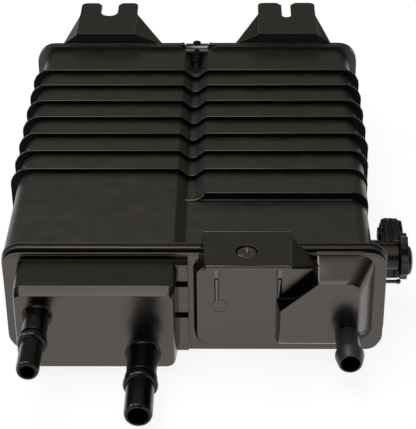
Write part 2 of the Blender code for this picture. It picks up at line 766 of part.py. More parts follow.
def tab_pieces():
    """Tab plate, its two slanted gussets and two support ribs; all keep clear of the housing's flange."""
    table = plate(
        "tab_plate",
        [rounded([
            (TAB_LEFT, TAB_BACK, CORNER_SOFT, 2),
            (TAB_LEFT + TAB_TAPER, -TAB_REACH, CORNER_SOFT, 2),
            (TAB_RIGHT - TAB_TAPER / 2, -TAB_REACH, CORNER_SOFT, 2),
            (TAB_RIGHT, TAB_BACK, CORNER_SOFT, 2),
        ])],
        TAB_LOW,
        TAB_TOP,
        "Z",
    )
    left_gusset = side_gusset(
        "tab_left_gusset",
        -1,
        TAB_LEFT,
        (TAB_LEFT - LEFT_GUSSET_SPREAD, OVERLAP, FLANGE_HIGH - FLANGE_STAND),
        (TAB_LEFT - LEFT_GUSSET_SPREAD, -PANEL_DEPTH + OVERLAP, PANEL_TOP - 2 * PANEL_DRAFT),
    )
    right_gusset = side_gusset(
        "tab_right_gusset",
        1,
        TAB_RIGHT - TAB_TAPER / 2,
        (GUSSET_LAND_X - GUSSET_LEAN, -PANEL_DEPTH + OVERLAP, PANEL_TOP - PANEL_DRAFT),
        (GUSSET_LAND_X, -PANEL_DEPTH, VENT_TOP - VENT_SLOPE / 3 - TAB_THICKNESS / 4),
    )
    ribs = [
        plate(
            "support_rib_%d" % (i + 1),
            [[
                (COVER_BACK / 2, TAB_LOW + OVERLAP),
                (COVER_BACK / 2, SUPPORT_RIB_FOOT),
                (-PANEL_DEPTH, SUPPORT_RIB_FOOT),
                (-TAB_REACH + 2 * OVERLAP, TAB_LOW - 2 * OVERLAP),
                (-TAB_REACH + 2 * OVERLAP, TAB_LOW + OVERLAP),
            ]],
            x - SUPPORT_RIB_THICKNESS / 2,
            x + SUPPORT_RIB_THICKNESS / 2,
            "X",
        )
        for i, x in enumerate(SUPPORT_RIB_XS)
    ]
    return [table, left_gusset, right_gusset, *ribs]


def front_cover():
    rim = front_flange_outline(COVER_INSET)
    cover = plate("front_cover", [rim], 0, COVER_BACK, "Y", PORT_PLASTIC, parts)
    foot = COVER_BACK / 2
    near = BOX_DEPTH - BOX_CHAMFER
    add(cover, loft("manifold_box", [
        (foot, box_outline(0, 0, 0)),
        (-near, box_outline(BOX_DRAFT * near / BOX_DEPTH, BOX_DRAFT * near / BOX_DEPTH, 0)),
        (-BOX_DEPTH + BOX_EDGE, box_outline(BOX_DRAFT, BOX_DRAFT + BOX_CHAMFER - BOX_EDGE, 0)),
        (-BOX_DEPTH, box_outline(BOX_DRAFT, BOX_DRAFT + BOX_CHAMFER, BOX_EDGE / 2)),
    ]))
    add(cover, loft("plain_panel", [
        (foot, panel_front(0)),
        (-PANEL_DEPTH + PANEL_DRAFT, panel_front(PANEL_DRAFT / 2)),
        (-PANEL_DEPTH, panel_front(PANEL_DRAFT * 1.5)),
    ]))
    add(cover, loft("vent_box", [
        (foot, vent_outline(-foot)),
        (-VENT_DEPTH + BOX_EDGE, vent_outline(VENT_DEPTH - BOX_EDGE)),
        (-VENT_DEPTH, vent_outline(VENT_DEPTH, BOX_EDGE / 2)),
    ]))
    bar = [(-BAR_LEFT, BAR_BOTTOM), (-BAR_RIGHT, BAR_BOTTOM), (-BAR_RIGHT, BAR_TOP), (-BAR_LEFT, BAR_TOP)]
    bar_piece = plate("notched_bar", [bar], -PANEL_DEPTH, foot)
    for i, height in enumerate(NOTCH_CENTRES):
        half = NOTCH_HEIGHT / 2
        notch = [
            (-BAR_LEFT + OVERLAP, height - half),
            (OVERLAP, height - half),
            (OVERLAP, height + half),
            (-BAR_LEFT + OVERLAP, height + half),
        ]
        cut(bar_piece, plate("bar_notch_%d" % (i + 1), [notch], -PANEL_DEPTH - OVERLAP, -GAP))
    add(cover, bar_piece)
    add(cover, stem("purge_stem", PURGE_X, PURGE_Z, PURGE_RADIUS, PURGE_LENGTH, PURGE_BEAD))
    add(cover, stem("tank_stem", TANK_X, TANK_Z, TANK_RADIUS, TANK_LENGTH, TANK_BEAD))
    add(cover, barb("vent_barb", VENT_X, VENT_Z))
    add(cover, *tab_pieces())
    inside = COVER_BACK + OVERLAP
    cut(cover, manifold_hollow(inside), vent_hollow(inside))
    bore_back = -BOX_DEPTH + 2 * WALL
    cut(cover, bore("purge_bore", PURGE_X, PURGE_Z, PURGE_RADIUS - STEM_WALL, -BOX_DEPTH - PURGE_LENGTH - OVERLAP, bore_back))
    cut(cover, bore("tank_bore", TANK_X, TANK_Z, TANK_RADIUS - STEM_WALL, -TANK_TIP - OVERLAP, bore_back))
    barb_front = -VENT_DEPTH - BARB_LENGTH - OVERLAP
    cut(cover, bore("vent_bore", VENT_X, VENT_Z, BARB_RADIUS - BARB_WALL, barb_front, -VENT_DEPTH / 2))
    hole = Matrix.Translation((TAB_HOLE_X, TAB_HOLE_Y, TAB_TOP))
    cut(cover, cylinder("tab_hole", TAB_HOLE_RADIUS, 4 * TAB_THICKNESS, hole))
    add(cover, *manifold_ribs())
    smooth(cover)
    return cover


def manifold_hollow(inside):
    """Passage behind the purge and tank ports, open to the main chamber."""
    low = max(BOX_BOTTOM + BOX_DRAFT + WALL, PANEL_LOW + WALL + GROOVE_DEPTH)
    high = BOX_TOP - BOX_DRAFT - BOX_CHAMFER - WALL
    left = -BOX_LEFT + BOX_LEFT_DRAFT + WALL
    right = -BOX_RIGHT - BOX_DRAFT - WALL
    corners = [(left, high), (right, high), (right, low), (left, low)]
    outline = rounded([(x, z, BOX_RADIUS - EDGE_SOFT, 3) for x, z in corners])
    return plate("manifold_hollow", [outline], -BOX_DEPTH + WALL, inside)


def manifold_ribs():
    """Ribs across the mouth of the passage, which hold the filter pad back."""
    left = -BOX_LEFT + BOX_LEFT_DRAFT + WALL
    right = -BOX_RIGHT - BOX_DRAFT - WALL
    pitch = (right - left) / (MANIFOLD_RIBS + 1)
    low, high = BOX_BOTTOM + BOX_DRAFT + OVERLAP, BOX_TOP - BOX_DRAFT - BOX_CHAMFER - OVERLAP
    ribs = []
    for i in range(MANIFOLD_RIBS):
        x = left + pitch * (i + 1)
        half = MANIFOLD_RIB / 2
        outline = [(x - half, low), (x + half, low), (x + half, high), (x - half, high)]
        back = COVER_BACK - MANIFOLD_RIB / 2
        ribs.append(plate("manifold_rib_%d" % (i + 1), [outline], back - MANIFOLD_RIB_DEPTH, back))
    return ribs


def vent_hollow(inside):
    depth = VENT_DEPTH - WALL
    return loft("vent_hollow", [(inside, vent_outline(-inside, 2 * WALL)), (-depth, vent_outline(depth, WALL))])


# Rear cover: flange, dished back, two hooded tongues and the tray over the groove

def tongue(side, index):
    """A notched tongue on the left (-1) or right (1), on a front wall with two flared gussets."""
    centre = side * TONGUE_CENTRE
    half = TONGUE_HALF_WIDTH
    low, top = TONGUE_TOP - TONGUE_THICKNESS, TONGUE_TOP
    start = REAR_COVER_BACK - REAR_FLANGE_THICKNESS / 2
    bury = TONGUE_THICKNESS / 4
    mouth_x = centre + NOTCH_OFFSETS[index]
    slot = NOTCH_WIDTHS[index] / 2
    floor = TONGUE_END - NOTCH_DEPTHS[index]
    flare = slot + NOTCH_MOUTHS[index]
    outline = rounded([
        (centre - half, start, 0, 0),
        (centre - half, TONGUE_END, TONGUE_CORNER, 4),
        (mouth_x - flare, TONGUE_END, EDGE_SOFT, 2),
        (mouth_x - slot, TONGUE_END - MOUTH_DEPTH, CORNER_SOFT, 2),
        (mouth_x - slot, floor, slot * 0.98, 6),
        (mouth_x + slot, floor, slot * 0.98, 6),
        (mouth_x + slot, TONGUE_END - MOUTH_DEPTH, CORNER_SOFT, 2),
        (mouth_x + flare, TONGUE_END, EDGE_SOFT, 2),
        (centre + half, TONGUE_END, TONGUE_CORNER, 4),
        (centre + half, start, 0, 0),
    ])
    word = "left" if side < 0 else "right"
    pieces = [plate(word + "_tongue", [outline], low, top, "Z")]
    foot = RIB_HIGH - REAR_FLANGE_THICKNESS
    outer = HOOD_OUTER_FLARE * 0.5
    inner = HOOD_INNER_FLARES[index] * 0.35
    spread_low = centre - half - (outer if side < 0 else inner)
    spread_high = centre + half + (inner if side < 0 else outer)
    wall = [
        (spread_low, foot),
        (spread_high, foot),
        (centre + half - bury, top - bury),
        (centre - half + bury, top - bury),
    ]
    pieces.append(plate(word + "_hood_front", [wall], start + bury, start + bury + HOOD_WALL))
    for hand in (-1, 1):
        out = HOOD_OUTER_FLARE if hand == side else HOOD_INNER_FLARES[index]
        edge = centre + hand * half
        near = REAR_COVER_BACK - OVERLAP / 2
        pieces.append(hull(
            "%s_gusset_%s" % (word, "outer" if hand == side else "inner"),
            [
                (edge - hand * bury, near + HOOD_REACH, top - bury),
                (edge - hand * HOOD_WALL, near + HOOD_REACH, low + bury),
                (edge - hand * bury, near, top - bury),
                (edge - hand * HOOD_WALL, near, top - bury),
                (edge + hand * out, near, RIB_HIGH - OVERLAP),
                (edge + hand * (out - HOOD_WALL), near, RIB_HIGH - 2 * OVERLAP),
                (edge + hand * out, near, RIB_HIGH - HOOD_DROP),
                (edge + hand * (out - HOOD_WALL), near, RIB_HIGH - HOOD_DROP),
            ],
        ))
    return pieces


def rear_cover():
    cover = plate(
        "rear_cover", [rear_flange_outline()], REAR_COVER_FRONT, REAR_COVER_BACK, "Y", PORT_PLASTIC, parts
    )
    dish_back = REAR_COVER_BACK + DISH_DEPTH
    add(cover, loft("rear_dish", [
        (REAR_COVER_BACK - OVERLAP, rear_flange_outline(DISH_INSET)),
        (dish_back - BOX_EDGE, rear_flange_outline(DISH_INSET + DISH_DRAFT)),
        (dish_back, rear_flange_outline(DISH_INSET + DISH_DRAFT + BOX_EDGE)),
    ]))
    for index, side in enumerate((-1, 1)):
        add(cover, *tongue(side, index))
    tray_floor = RIB_HIGH - TRAY_DEPTH
    nub = turned(
        "tray_nub",
        [
            (0, NUB_RADIUS * 2.5),
            (NUB_RADIUS * 0.55, NUB_RADIUS * 2.3),
            (NUB_RADIUS * 0.95, NUB_RADIUS * 1.9),
            (NUB_RADIUS, NUB_RADIUS * 1.5),
            (NUB_RADIUS * 0.8, NUB_RADIUS),
            (NUB_RADIUS * 0.75, NUB_RADIUS * 0.7),
            (NUB_CONE, -OVERLAP),
            (0, -OVERLAP),
        ],
        Matrix.Translation((0, REAR_COVER_BACK + NUB_CONE * 0.4, tray_floor)),
        16,
    )
    shelf = plate(
        "tray_shelf",
        [[
            (-TRAY_FLOOR_HALF, tray_floor - OVERLAP / 2),
            (TRAY_FLOOR_HALF, tray_floor - OVERLAP / 2),
            (TRAY_FLOOR_HALF, tray_floor - DISH_INSET - DISH_DRAFT),
            (-TRAY_FLOOR_HALF, tray_floor - DISH_INSET - DISH_DRAFT),
        ]],
        REAR_COVER_BACK - OVERLAP,
        REAR_COVER_BACK + NUB_CONE * 1.4,
    )
    add(cover, shelf, nub)
    hollow = rear_flange_outline(DISH_INSET + DISH_DRAFT + WALL)
    cut(cover, plate("rear_hollow", [hollow], REAR_COVER_FRONT - OVERLAP, dish_back - WALL))
    for name, x, z in spring_places():
        add(cover, spring_seat("cover_seat_" + name, x, z, dish_back - WALL + OVERLAP, -1))
    smooth(cover)
    return cover


# Packing: felt pads, carbon, perforated plates and springs

def spring_places():
    """Name, x and z of every spring: SPRINGS_PER_PLATE in each chamber."""
    middle = (PANEL_LOW + PANEL_HIGH) / 2
    inner = PARTITION / 2
    outer = HOUSING_HALF_WIDTH - WALL
    pitch = (outer - inner) / (2 * SPRINGS_PER_PLATE)
    return [
        ("%s_%d" % (chamber, i + 1), side * (inner + pitch * (2 * i + 1)), middle)
        for chamber, side in (("main", -1), ("vent", 1))
        for i in range(SPRINGS_PER_PLATE)
    ]


def spring_seat(name, x, z, face, towards):
    """A short round seat that centres a spring; it stands from face towards -Y or +Y."""
    profile = [(0, SEAT_HEIGHT), (SEAT_RADIUS - EDGE_SOFT, SEAT_HEIGHT), (SEAT_RADIUS, SEAT_HEIGHT - EDGE_SOFT)]
    profile += [(SEAT_RADIUS, -OVERLAP / 2), (0, -OVERLAP / 2)]
    return turned(name, profile, along_y(x, z, face, towards), 20)


def packing(chamber, side):
    front_outer = HOUSING_HALF_WIDTH if side < 0 else SIDE_X
    front_high = PANEL_HIGH if side < 0 else GROOVE_FLOOR
    front = chamber_outline(side, front_outer, front_high, GAP)
    back = chamber_outline(side, HOUSING_HALF_WIDTH, PANEL_HIGH, GAP)
    pad_front = COVER_BACK + GAP
    bed_front = pad_front + FRONT_FILTER + GAP
    plate_front = PLATE_BACK - PLATE_THICKNESS
    pad_back = plate_front - GAP
    bed_back = pad_back - REAR_FILTER - GAP
    plate(chamber + "_front_filter", [front], pad_front, pad_front + FRONT_FILTER, "Y", FELT, parts)
    plate(chamber + "_rear_filter", [back], pad_back - REAR_FILTER, pad_back, "Y", FELT, parts)
    if side < 0:
        plate(chamber + "_carbon_bed", [back], bed_front, bed_back, "Y", CARBON, parts)
    else:
        bed = plate(chamber + "_carbon_bed", [front], bed_front, STEP_Y + 2 * WALL, "Y", CARBON, parts)
        add(bed, plate("vent_bed_back", [back], STEP_Y + WALL + GAP, bed_back))
    pressure_plate(chamber, side, back, plate_front)
    for name, x, z in spring_places():
        if name.startswith(chamber):
            spring(name + "_spring", x, z)


def pressure_plate(chamber, side, outline, plate_front):
    """A perforated plate that the springs push on the bed, with a seat for each spring."""
    made = plate(chamber + "_pressure_plate", [outline], plate_front, PLATE_BACK, "Y", PLATE_PLASTIC, parts)
    width = HOUSING_HALF_WIDTH - WALL - PARTITION / 2
    column = width / PLATE_HOLE_COLUMNS
    row = (PANEL_HEIGHT - 2 * WALL) / PLATE_HOLE_ROWS
    seats = [Vector((x, z)) for name, x, z in spring_places() if name.startswith(chamber)]
    for i in range(PLATE_HOLE_COLUMNS):
        for k in range(PLATE_HOLE_ROWS):
            x = side * (PARTITION / 2 + column * (i + 0.5))
            z = PANEL_LOW + WALL + row * (k + 0.5)
            if min((seat - Vector((x, z))).length for seat in seats) < SEAT_RADIUS + PLATE_HOLE_RADIUS:
                continue
            place = along_y(x, z, PLATE_BACK)
            cut(made, cylinder("%s_hole_%d_%d" % (chamber, i, k), PLATE_HOLE_RADIUS, 4 * PLATE_THICKNESS, place, 8))
    for name, x, z in spring_places():
        if name.startswith(chamber):
            add(made, spring_seat("plate_seat_" + name, x, z, PLATE_BACK, 1))


def spring(name, x, z):
    """A compression coil with closed ends, from the plate to the rear cover."""
    low = PLATE_BACK + GAP + SPRING_WIRE
    high = REAR_COVER_BACK + DISH_DEPTH - WALL - GAP - SPRING_WIRE
    count = SPRING_TURNS * SPRING_POINTS_PER_TURN
    closed = 2 * SPRING_WIRE + GAP
    curve = bpy.data.curves.new(name, "CURVE")
    curve.dimensions = "3D"
    curve.bevel_depth = SPRING_WIRE
    curve.bevel_resolution = 1
    curve.use_fill_caps = True
    spline = curve.splines.new("POLY")
    spline.points.add(count)
    for i, point in enumerate(spline.points):
        turns = i / SPRING_POINTS_PER_TURN
        if turns < 1:
            y = low + closed * turns
        elif turns > SPRING_TURNS - 1:
            y = high - closed * (SPRING_TURNS - turns)
        else:
            y = low + closed + (high - low - 2 * closed) * (turns - 1) / (SPRING_TURNS - 2)
        angle = 2 * math.pi * turns
        point.co = (x + SPRING_RADIUS * math.cos(angle), y, z + SPRING_RADIUS * math.sin(angle), 1)
    made = mesh_of_curve(bpy.data.objects.new(name, curve), SPRING_STEEL, parts)
    smooth(made)
    return made


# Push nut in the tab's hole

def push_nut():
    neck = TAB_HOLE_RADIUS - GAP
    high = TAB_TOP - NUT_THICKNESS / 2
    low = TAB_LOW - GAP
    nut = turned(
        "tab_push_nut",
        [
            (0, high),
            (neck - EDGE_SOFT, high),
            (neck, high - EDGE_SOFT),
            (neck, low),
            (neck + NUT_FLANGE, low),
            (neck + NUT_FLANGE, low - NUT_THICKNESS),
            (neck - NUT_THICKNESS, low - NUT_THICKNESS),
            (neck - NUT_THICKNESS, high - NUT_THICKNESS),
            (0, high - NUT_THICKNESS),
        ],
        Matrix.Translation((TAB_HOLE_X, TAB_HOLE_Y, 0)),
        24,
        NUT_STEEL,
        parts,
    )
    place = Matrix.Translation((TAB_HOLE_X, TAB_HOLE_Y, high))
    cut(nut, cylinder("nut_eye", NUT_EYE, 4 * NUT_THICKNESS, place, 16))
    for i in range(3):
        turn = Matrix.Rotation(math.radians(90 + 120 * i), 3, "Z")
        half = NUT_SLOT_WIDTH / 2
        corners = [turn @ Vector((u, v, 0)) for u, v in ((0, -half), (NUT_SLOT_REACH, -half), (NUT_SLOT_REACH, half), (0, half))]
        outline = [(TAB_HOLE_X + c.x, TAB_HOLE_Y + c.y) for c in corners]
        cut(nut, plate("nut_slot_%d" % (i + 1), [outline], high - 2 * NUT_THICKNESS, high + NUT_THICKNESS, "Z"))
    return nut


# Vent valve: body with its connector, knurled end cap, seal and two terminals

def valve():
    start = VALVE_START
    length = VALVE_LENGTH
    housing_piece = turned(
        "valve_body",
        [
            (0, length),
            (VALVE_RADIUS - EDGE_SOFT, length),
            (VALVE_RADIUS, length - EDGE_SOFT),
            (VALVE_RADIUS, 2 * CORNER_SOFT),
            (VALVE_RADIUS + CORNER_SOFT, CORNER_SOFT),
            (VALVE_RADIUS + CORNER_SOFT, 0),
            (SPIGOT_RADIUS, 0),
            (SPIGOT_RADIUS, -SPIGOT_LENGTH + EDGE_SOFT),
            (SPIGOT_RADIUS - EDGE_SOFT, -SPIGOT_LENGTH),
            (0, -SPIGOT_LENGTH),
        ],
        along_x(start, VALVE_Y, VALVE_Z),
        28,
        VALVE_PLASTIC,
        parts,
    )
    back = VALVE_Y + VALVE_RADIUS + CONNECTOR_LENGTH
    middle_z = VALVE_Z + VALVE_RADIUS - CONNECTOR_HALF_HEIGHT
    shroud_start = VALVE_Y + CAP_RADIUS + CAP_LOBE_STAND + 2 * GAP
    shroud_rim = connector_outline(CONNECTOR_HALF_WIDTH, CONNECTOR_HALF_HEIGHT, middle_z)
    add(housing_piece, connector_neck(middle_z, shroud_start))
    add(housing_piece, plate("connector_shroud", [shroud_rim], shroud_start, back))
    pitch = 2 * CONNECTOR_HALF_WIDTH / GRIP_RIBS
    for i in range(GRIP_RIBS):
        x = CONNECTOR_X - CONNECTOR_HALF_WIDTH + pitch * (i + 0.5)
        half = GRIP_RIB_WIDTH / 2
        top = middle_z + CONNECTOR_HALF_HEIGHT
        outline = [
            (x - half, top - OVERLAP),
            (x + half, top - OVERLAP),
            (x + half * 0.7, top + GRIP_RIB_STAND),
            (x - half * 0.7, top + GRIP_RIB_STAND),
        ]
        grip = plate("grip_rib_%d" % (i + 1), [outline], shroud_start + GRIP_RIB_WIDTH, back - GRIP_RIB_WIDTH)
        add(housing_piece, grip)
    rail_high = middle_z + CONNECTOR_HALF_HEIGHT / 2
    rail_low = middle_z - CONNECTOR_HALF_HEIGHT / 2
    rail_left = CONNECTOR_X - CONNECTOR_HALF_WIDTH - CONNECTOR_RAIL
    rail_right = CONNECTOR_X - CONNECTOR_HALF_WIDTH + CONNECTOR_WALL / 2
    rail = [(rail_left, rail_low), (rail_right, rail_low), (rail_right, rail_high), (rail_left, rail_high)]
    rail_front = shroud_start + OVERLAP
    add(housing_piece, plate("connector_rail", [rail], rail_front, back - CONNECTOR_RAIL_BACK))
    lug_right = VALVE_END - GAP
    lug_left = lug_right - LUG_WIDTH
    lug = [
        (lug_left, VALVE_Z),
        (lug_left, VALVE_Z - LUG_DROP),
        (lug_right, VALVE_Z - LUG_DROP),
        (lug_right, VALVE_Z),
    ]
    add(housing_piece, plate("valve_lug", [lug], VALVE_Y - LUG_DEPTH / 2, VALVE_Y + LUG_DEPTH / 2))
    pocket = connector_outline(CONNECTOR_HALF_WIDTH - CONNECTOR_WALL, CONNECTOR_HALF_HEIGHT - CONNECTOR_WALL, middle_z)
    cut(housing_piece, plate("connector_pocket", [pocket], back - CONNECTOR_POCKET, back + OVERLAP))
    for i, side in enumerate((-1, 1)):
        x = CONNECTOR_X + side * TERMINAL_PITCH / 2
        floor = back - CONNECTOR_POCKET
        terminal("valve_terminal_%d" % (i + 1), x, middle_z, floor + GAP, floor + GAP + TERMINAL_LENGTH)
    smooth(housing_piece)
    valve_cap()
    seal(start)
    return housing_piece


def connector_neck(middle, shroud_start):
    """Block that joins the connector to the valve's body, beside the end cap."""
    left = CONNECTOR_X - CONNECTOR_HALF_WIDTH + CONNECTOR_WALL / 2
    right = VALVE_END - GAP
    low = middle - CONNECTOR_HALF_HEIGHT + CONNECTOR_WALL / 2
    high = middle + CONNECTOR_HALF_HEIGHT - CONNECTOR_WALL / 2
    outline = rounded([
        (left, high, CONNECTOR_WALL, 3),
        (right, high, CONNECTOR_WALL, 3),
        (right, low, CONNECTOR_WALL, 3),
        (left, low, CONNECTOR_WALL, 3),
    ])
    return plate("connector_neck", [outline], VALVE_Y, shroud_start + OVERLAP)


def ball(name, radius, place):
    steps = 8
    angles = [math.pi * i / steps for i in range(steps + 1)]
    profile = [(radius * math.sin(a), radius * math.cos(a)) for a in angles]
    profile[0] = (0, radius)
    profile[-1] = (0, -radius)
    return turned(name, profile, Matrix.Translation(place), 12)


def connector_outline(half_width, half_height, middle):
    radius = half_height * 0.55
    return rounded([
        (CONNECTOR_X - half_width, middle + half_height, radius, 4),
        (CONNECTOR_X + half_width, middle + half_height, radius, 4),
        (CONNECTOR_X + half_width, middle - half_height, radius, 4),
        (CONNECTOR_X - half_width, middle - half_height, radius, 4),
    ])


def terminal(name, x, z, front, back):
    """A flat blade with a chamfered tip."""
    half = TERMINAL_SIDE
    outline = [
        (x - half, front),
        (x + half, front),
        (x + half, back - TERMINAL_SIDE),
        (x + half / 2, back),
        (x - half / 2, back),
        (x - half, back - TERMINAL_SIDE),
    ]
    return plate(name, [outline], z - half / 2, z + half / 2, "Z", TERMINAL_TIN, parts)


def valve_cap():
    """Lobed cap on the valve's outer end, with a round dome low on its face."""
    start = VALVE_END + GAP
    count = CAP_LOBES * 6
    outline = []
    for i in range(count):
        angle = 2 * math.pi * i / count
        radius = CAP_RADIUS + CAP_LOBE_STAND * max(-CAP_LOBE_VALLEY, math.cos(CAP_LOBES * angle))
        outline.append((VALVE_Y + radius * math.sin(angle), VALVE_Z + radius * math.cos(angle)))
    cap = plate("valve_end_cap", [outline], start, start + CAP_RIM, "X", VALVE_PLASTIC, parts)
    edge = cap.modifiers.new("soft rim", "BEVEL")
    edge.width = EDGE_SOFT
    edge.segments = 2
    edge.limit_method = "ANGLE"
    edge.angle_limit = math.radians(60)
    dome = turned(
        "cap_dome",
        [
            (0, CAP_DOME),
            (CAP_DOME_RADIUS * 0.6, CAP_DOME * 0.93),
            (CAP_DOME_RADIUS * 0.88, CAP_DOME * 0.62),
            (CAP_DOME_RADIUS, -CAP_RIM / 2),
            (0, -CAP_RIM / 2),
        ],
        along_x(start + CAP_RIM, VALVE_Y, VALVE_Z - CAP_DOME_DROP),
        28,
    )
    add(cap, dome)
    smooth(cap)
    return cap


def seal(start):
    """Ring on the valve's spigot, inside the boss."""
    middle = SPIGOT_RADIUS + GAP + SEAL_WIRE
    angles = [2 * math.pi * i / 8 for i in range(8)]
    profile = [(middle + SEAL_WIRE * math.cos(a), -SEAL_WIRE * math.sin(a)) for a in angles]
    place = along_x(start - SPIGOT_LENGTH / 2, VALVE_Y, VALVE_Z)
    return turned("valve_seal", profile, place, 24, SEAL_RUBBER, parts)


housing()
front_cover()
rear_cover()
packing("main", -1)
packing("vent", 1)
push_nut()
valve()
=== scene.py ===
import math

import bpy
from mathutils import Matrix, Vector


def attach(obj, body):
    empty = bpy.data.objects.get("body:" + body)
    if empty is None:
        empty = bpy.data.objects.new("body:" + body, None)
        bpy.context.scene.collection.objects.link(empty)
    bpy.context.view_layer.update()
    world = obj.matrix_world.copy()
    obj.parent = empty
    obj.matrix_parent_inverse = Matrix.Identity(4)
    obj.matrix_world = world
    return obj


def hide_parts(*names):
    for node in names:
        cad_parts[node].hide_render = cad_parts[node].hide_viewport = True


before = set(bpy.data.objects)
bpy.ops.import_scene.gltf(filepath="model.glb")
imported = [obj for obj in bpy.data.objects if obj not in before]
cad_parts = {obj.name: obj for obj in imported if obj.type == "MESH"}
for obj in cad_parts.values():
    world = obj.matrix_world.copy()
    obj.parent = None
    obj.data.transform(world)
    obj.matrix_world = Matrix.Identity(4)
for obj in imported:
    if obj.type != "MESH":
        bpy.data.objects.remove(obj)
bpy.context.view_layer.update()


# Housing: a two-chamber box with seven ribs, injection moulded in black glass-filled nylon.
# Its flanges, the post in the groove and the valve's boss are part of the moulding,
# and the covers are plate-welded onto the flanges at its two ends.
MM = 0.001
PER_MM = 1000  # a pattern's scale for a grain one millimetre wide
CENTRE_X = -9.05 * MM
FRONT_Y = -113.15 * MM


def at(x, y, z):
    """A place in millimetres: x from the housing's middle, y from the front flange's face, z from the floor."""
    return Vector((x * MM + CENTRE_X, y * MM + FRONT_Y, z * MM))


def deselect():
    if bpy.context.mode != "OBJECT":
        bpy.ops.object.mode_set(mode="OBJECT")
    bpy.ops.object.select_all(action="DESELECT")


def make_active(piece):
    deselect()
    piece.select_set(True)
    bpy.context.view_layer.objects.active = piece


def add_piece(name, data):
    """An object with the given mesh or curve, alone in the selection."""
    piece = bpy.data.objects.new(name, data)
    bpy.context.scene.collection.objects.link(piece)
    make_active(piece)
    return piece


def edit_all():
    """Edit mode, with the whole piece selected."""
    bpy.ops.object.mode_set(mode="EDIT")
    bpy.ops.mesh.select_all(action="SELECT")


def linear(code):
    """An sRGB hex colour as the linear values that a shader takes."""
    parts = [int(code[i : i + 2], 16) / 255 for i in (1, 3, 5)]
    return [p / 12.92 if p <= 0.04045 else ((p + 0.055) / 1.055) ** 2.4 for p in parts] + [1]


def add_node(tree, kind, settings=None, inputs=None, stops=()):
    """A node with its settings, its input values and links, and a ramp's stops as (place, hex colour)."""
    node = tree.nodes.new(kind)
    for key, value in (settings or {}).items():
        setattr(node, key, value)
    for key, value in (inputs or {}).items():
        if isinstance(value, bpy.types.NodeSocket):
            tree.links.new(value, node.inputs[key])
        else:
            node.inputs[key].default_value = value
    if stops:
        band = node.color_ramp
        while len(band.elements) < len(stops):
            band.elements.new(0.5)
        for element, (place, code) in zip(band.elements, stops):
            element.position = place
            element.color = linear(code)
    return node


PLASTIC_IOR = 1.55
WARM_SHEEN = "#fff5f0"  # the black filler takes a little blue out of what the surface mirrors
RUB_SHARE = 0.3  # rubbed patches are this much smaller than the clouds


def moulded_plastic(
    name, dark, light, rough_low, rough_high, grain_mm, grain_depth_mm,
    cloud_mm=35.0, specular=0.5, edge_mm=0.45,
):
    """Clouds in the colour where it flowed, grain from the mould, and rubbed patches in the gloss."""
    # The mould's real grain is too fine to show, so it's drawn up to about a millimetre wide.
    made = bpy.data.materials.new(name)
    made.use_nodes = True
    tree = made.node_tree
    shader = tree.nodes["Principled BSDF"]
    place = add_node(tree, "ShaderNodeTexCoord").outputs["Object"]
    cloud = add_node(
        tree, "ShaderNodeTexNoise",
        inputs={"Vector": place, "Scale": PER_MM / cloud_mm, "Detail": 4.0, "Roughness": 0.6},
    ).outputs["Fac"]
    rub = add_node(
        tree, "ShaderNodeTexNoise",
        inputs={"Vector": place, "Scale": PER_MM / (cloud_mm * RUB_SHARE), "Detail": 6.0, "Roughness": 0.7},
    ).outputs["Fac"]
    grain = add_node(
        tree, "ShaderNodeTexNoise",
        inputs={"Vector": place, "Scale": PER_MM / grain_mm, "Detail": 2.0},
    ).outputs["Fac"]
    colour = add_node(
        tree, "ShaderNodeValToRGB", inputs={"Fac": cloud}, stops=[(0.3, dark), (0.7, light)]
    ).outputs["Color"]
    gloss = add_node(
        tree, "ShaderNodeMapRange",
        inputs={"Value": rub, "From Min": 0.3, "From Max": 0.7, "To Min": rough_low, "To Max": rough_high},
    ).outputs["Result"]
    edge = add_node(tree, "ShaderNodeBevel", {"samples": 6}, {"Radius": edge_mm * MM}).outputs["Normal"]
    bump = add_node(
        tree, "ShaderNodeBump",
        inputs={"Strength": 1.0, "Distance": grain_depth_mm * MM, "Height": grain, "Normal": edge},
    ).outputs["Normal"]
    tree.links.new(colour, shader.inputs["Base Color"])
    tree.links.new(gloss, shader.inputs["Roughness"])
    tree.links.new(bump, shader.inputs["Normal"])
    shader.inputs["Specular IOR Level"].default_value = specular
    shader.inputs["Specular Tint"].default_value = linear(WARM_SHEEN)
    shader.inputs["IOR"].default_value = PLASTIC_IOR
    return made


MERGE_CAD = 0.00001  # metres
JOIN_FLATS = math.radians(0.6)
ROUND_FROM = math.radians(38)
SMOOTH_BELOW = 35  # degrees


def dress(node, piece_name, surface, soft_edge_mm):
    """A merged copy of a CAD node with its flats joined, its edges softened and its curves shaded smooth."""
    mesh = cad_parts[node].data.copy()
    mesh.name = piece_name
    piece = add_piece(piece_name, mesh)
    edit_all()
    bpy.ops.mesh.remove_doubles(threshold=MERGE_CAD)
    bpy.ops.mesh.dissolve_limited(angle_limit=JOIN_FLATS)
    bpy.ops.mesh.normals_make_consistent(inside=False)
    bpy.ops.object.mode_set(mode="OBJECT")
    bevel = piece.modifiers.new("soft edges", "BEVEL")
    bevel.width = soft_edge_mm * MM
    bevel.segments = 2
    bevel.limit_method = "ANGLE"
    bevel.angle_limit = ROUND_FROM
    bevel.miter_outer = "MITER_ARC"
    bevel.use_clamp_overlap = True
    bpy.ops.object.modifier_apply(modifier=bevel.name)
    bpy.ops.object.shade_smooth_by_angle(angle=math.radians(SMOOTH_BELOW))
    flats = piece.modifiers.new("flat faces", "WEIGHTED_NORMAL")
    flats.mode = "FACE_AREA"
    flats.weight = 100
    flats.keep_sharp = True
    bpy.ops.object.modifier_apply(modifier=flats.name)
    piece.data.materials.clear()
    piece.data.materials.append(surface)
    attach(piece, "root")
    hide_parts(node)
    return piece


deselect()
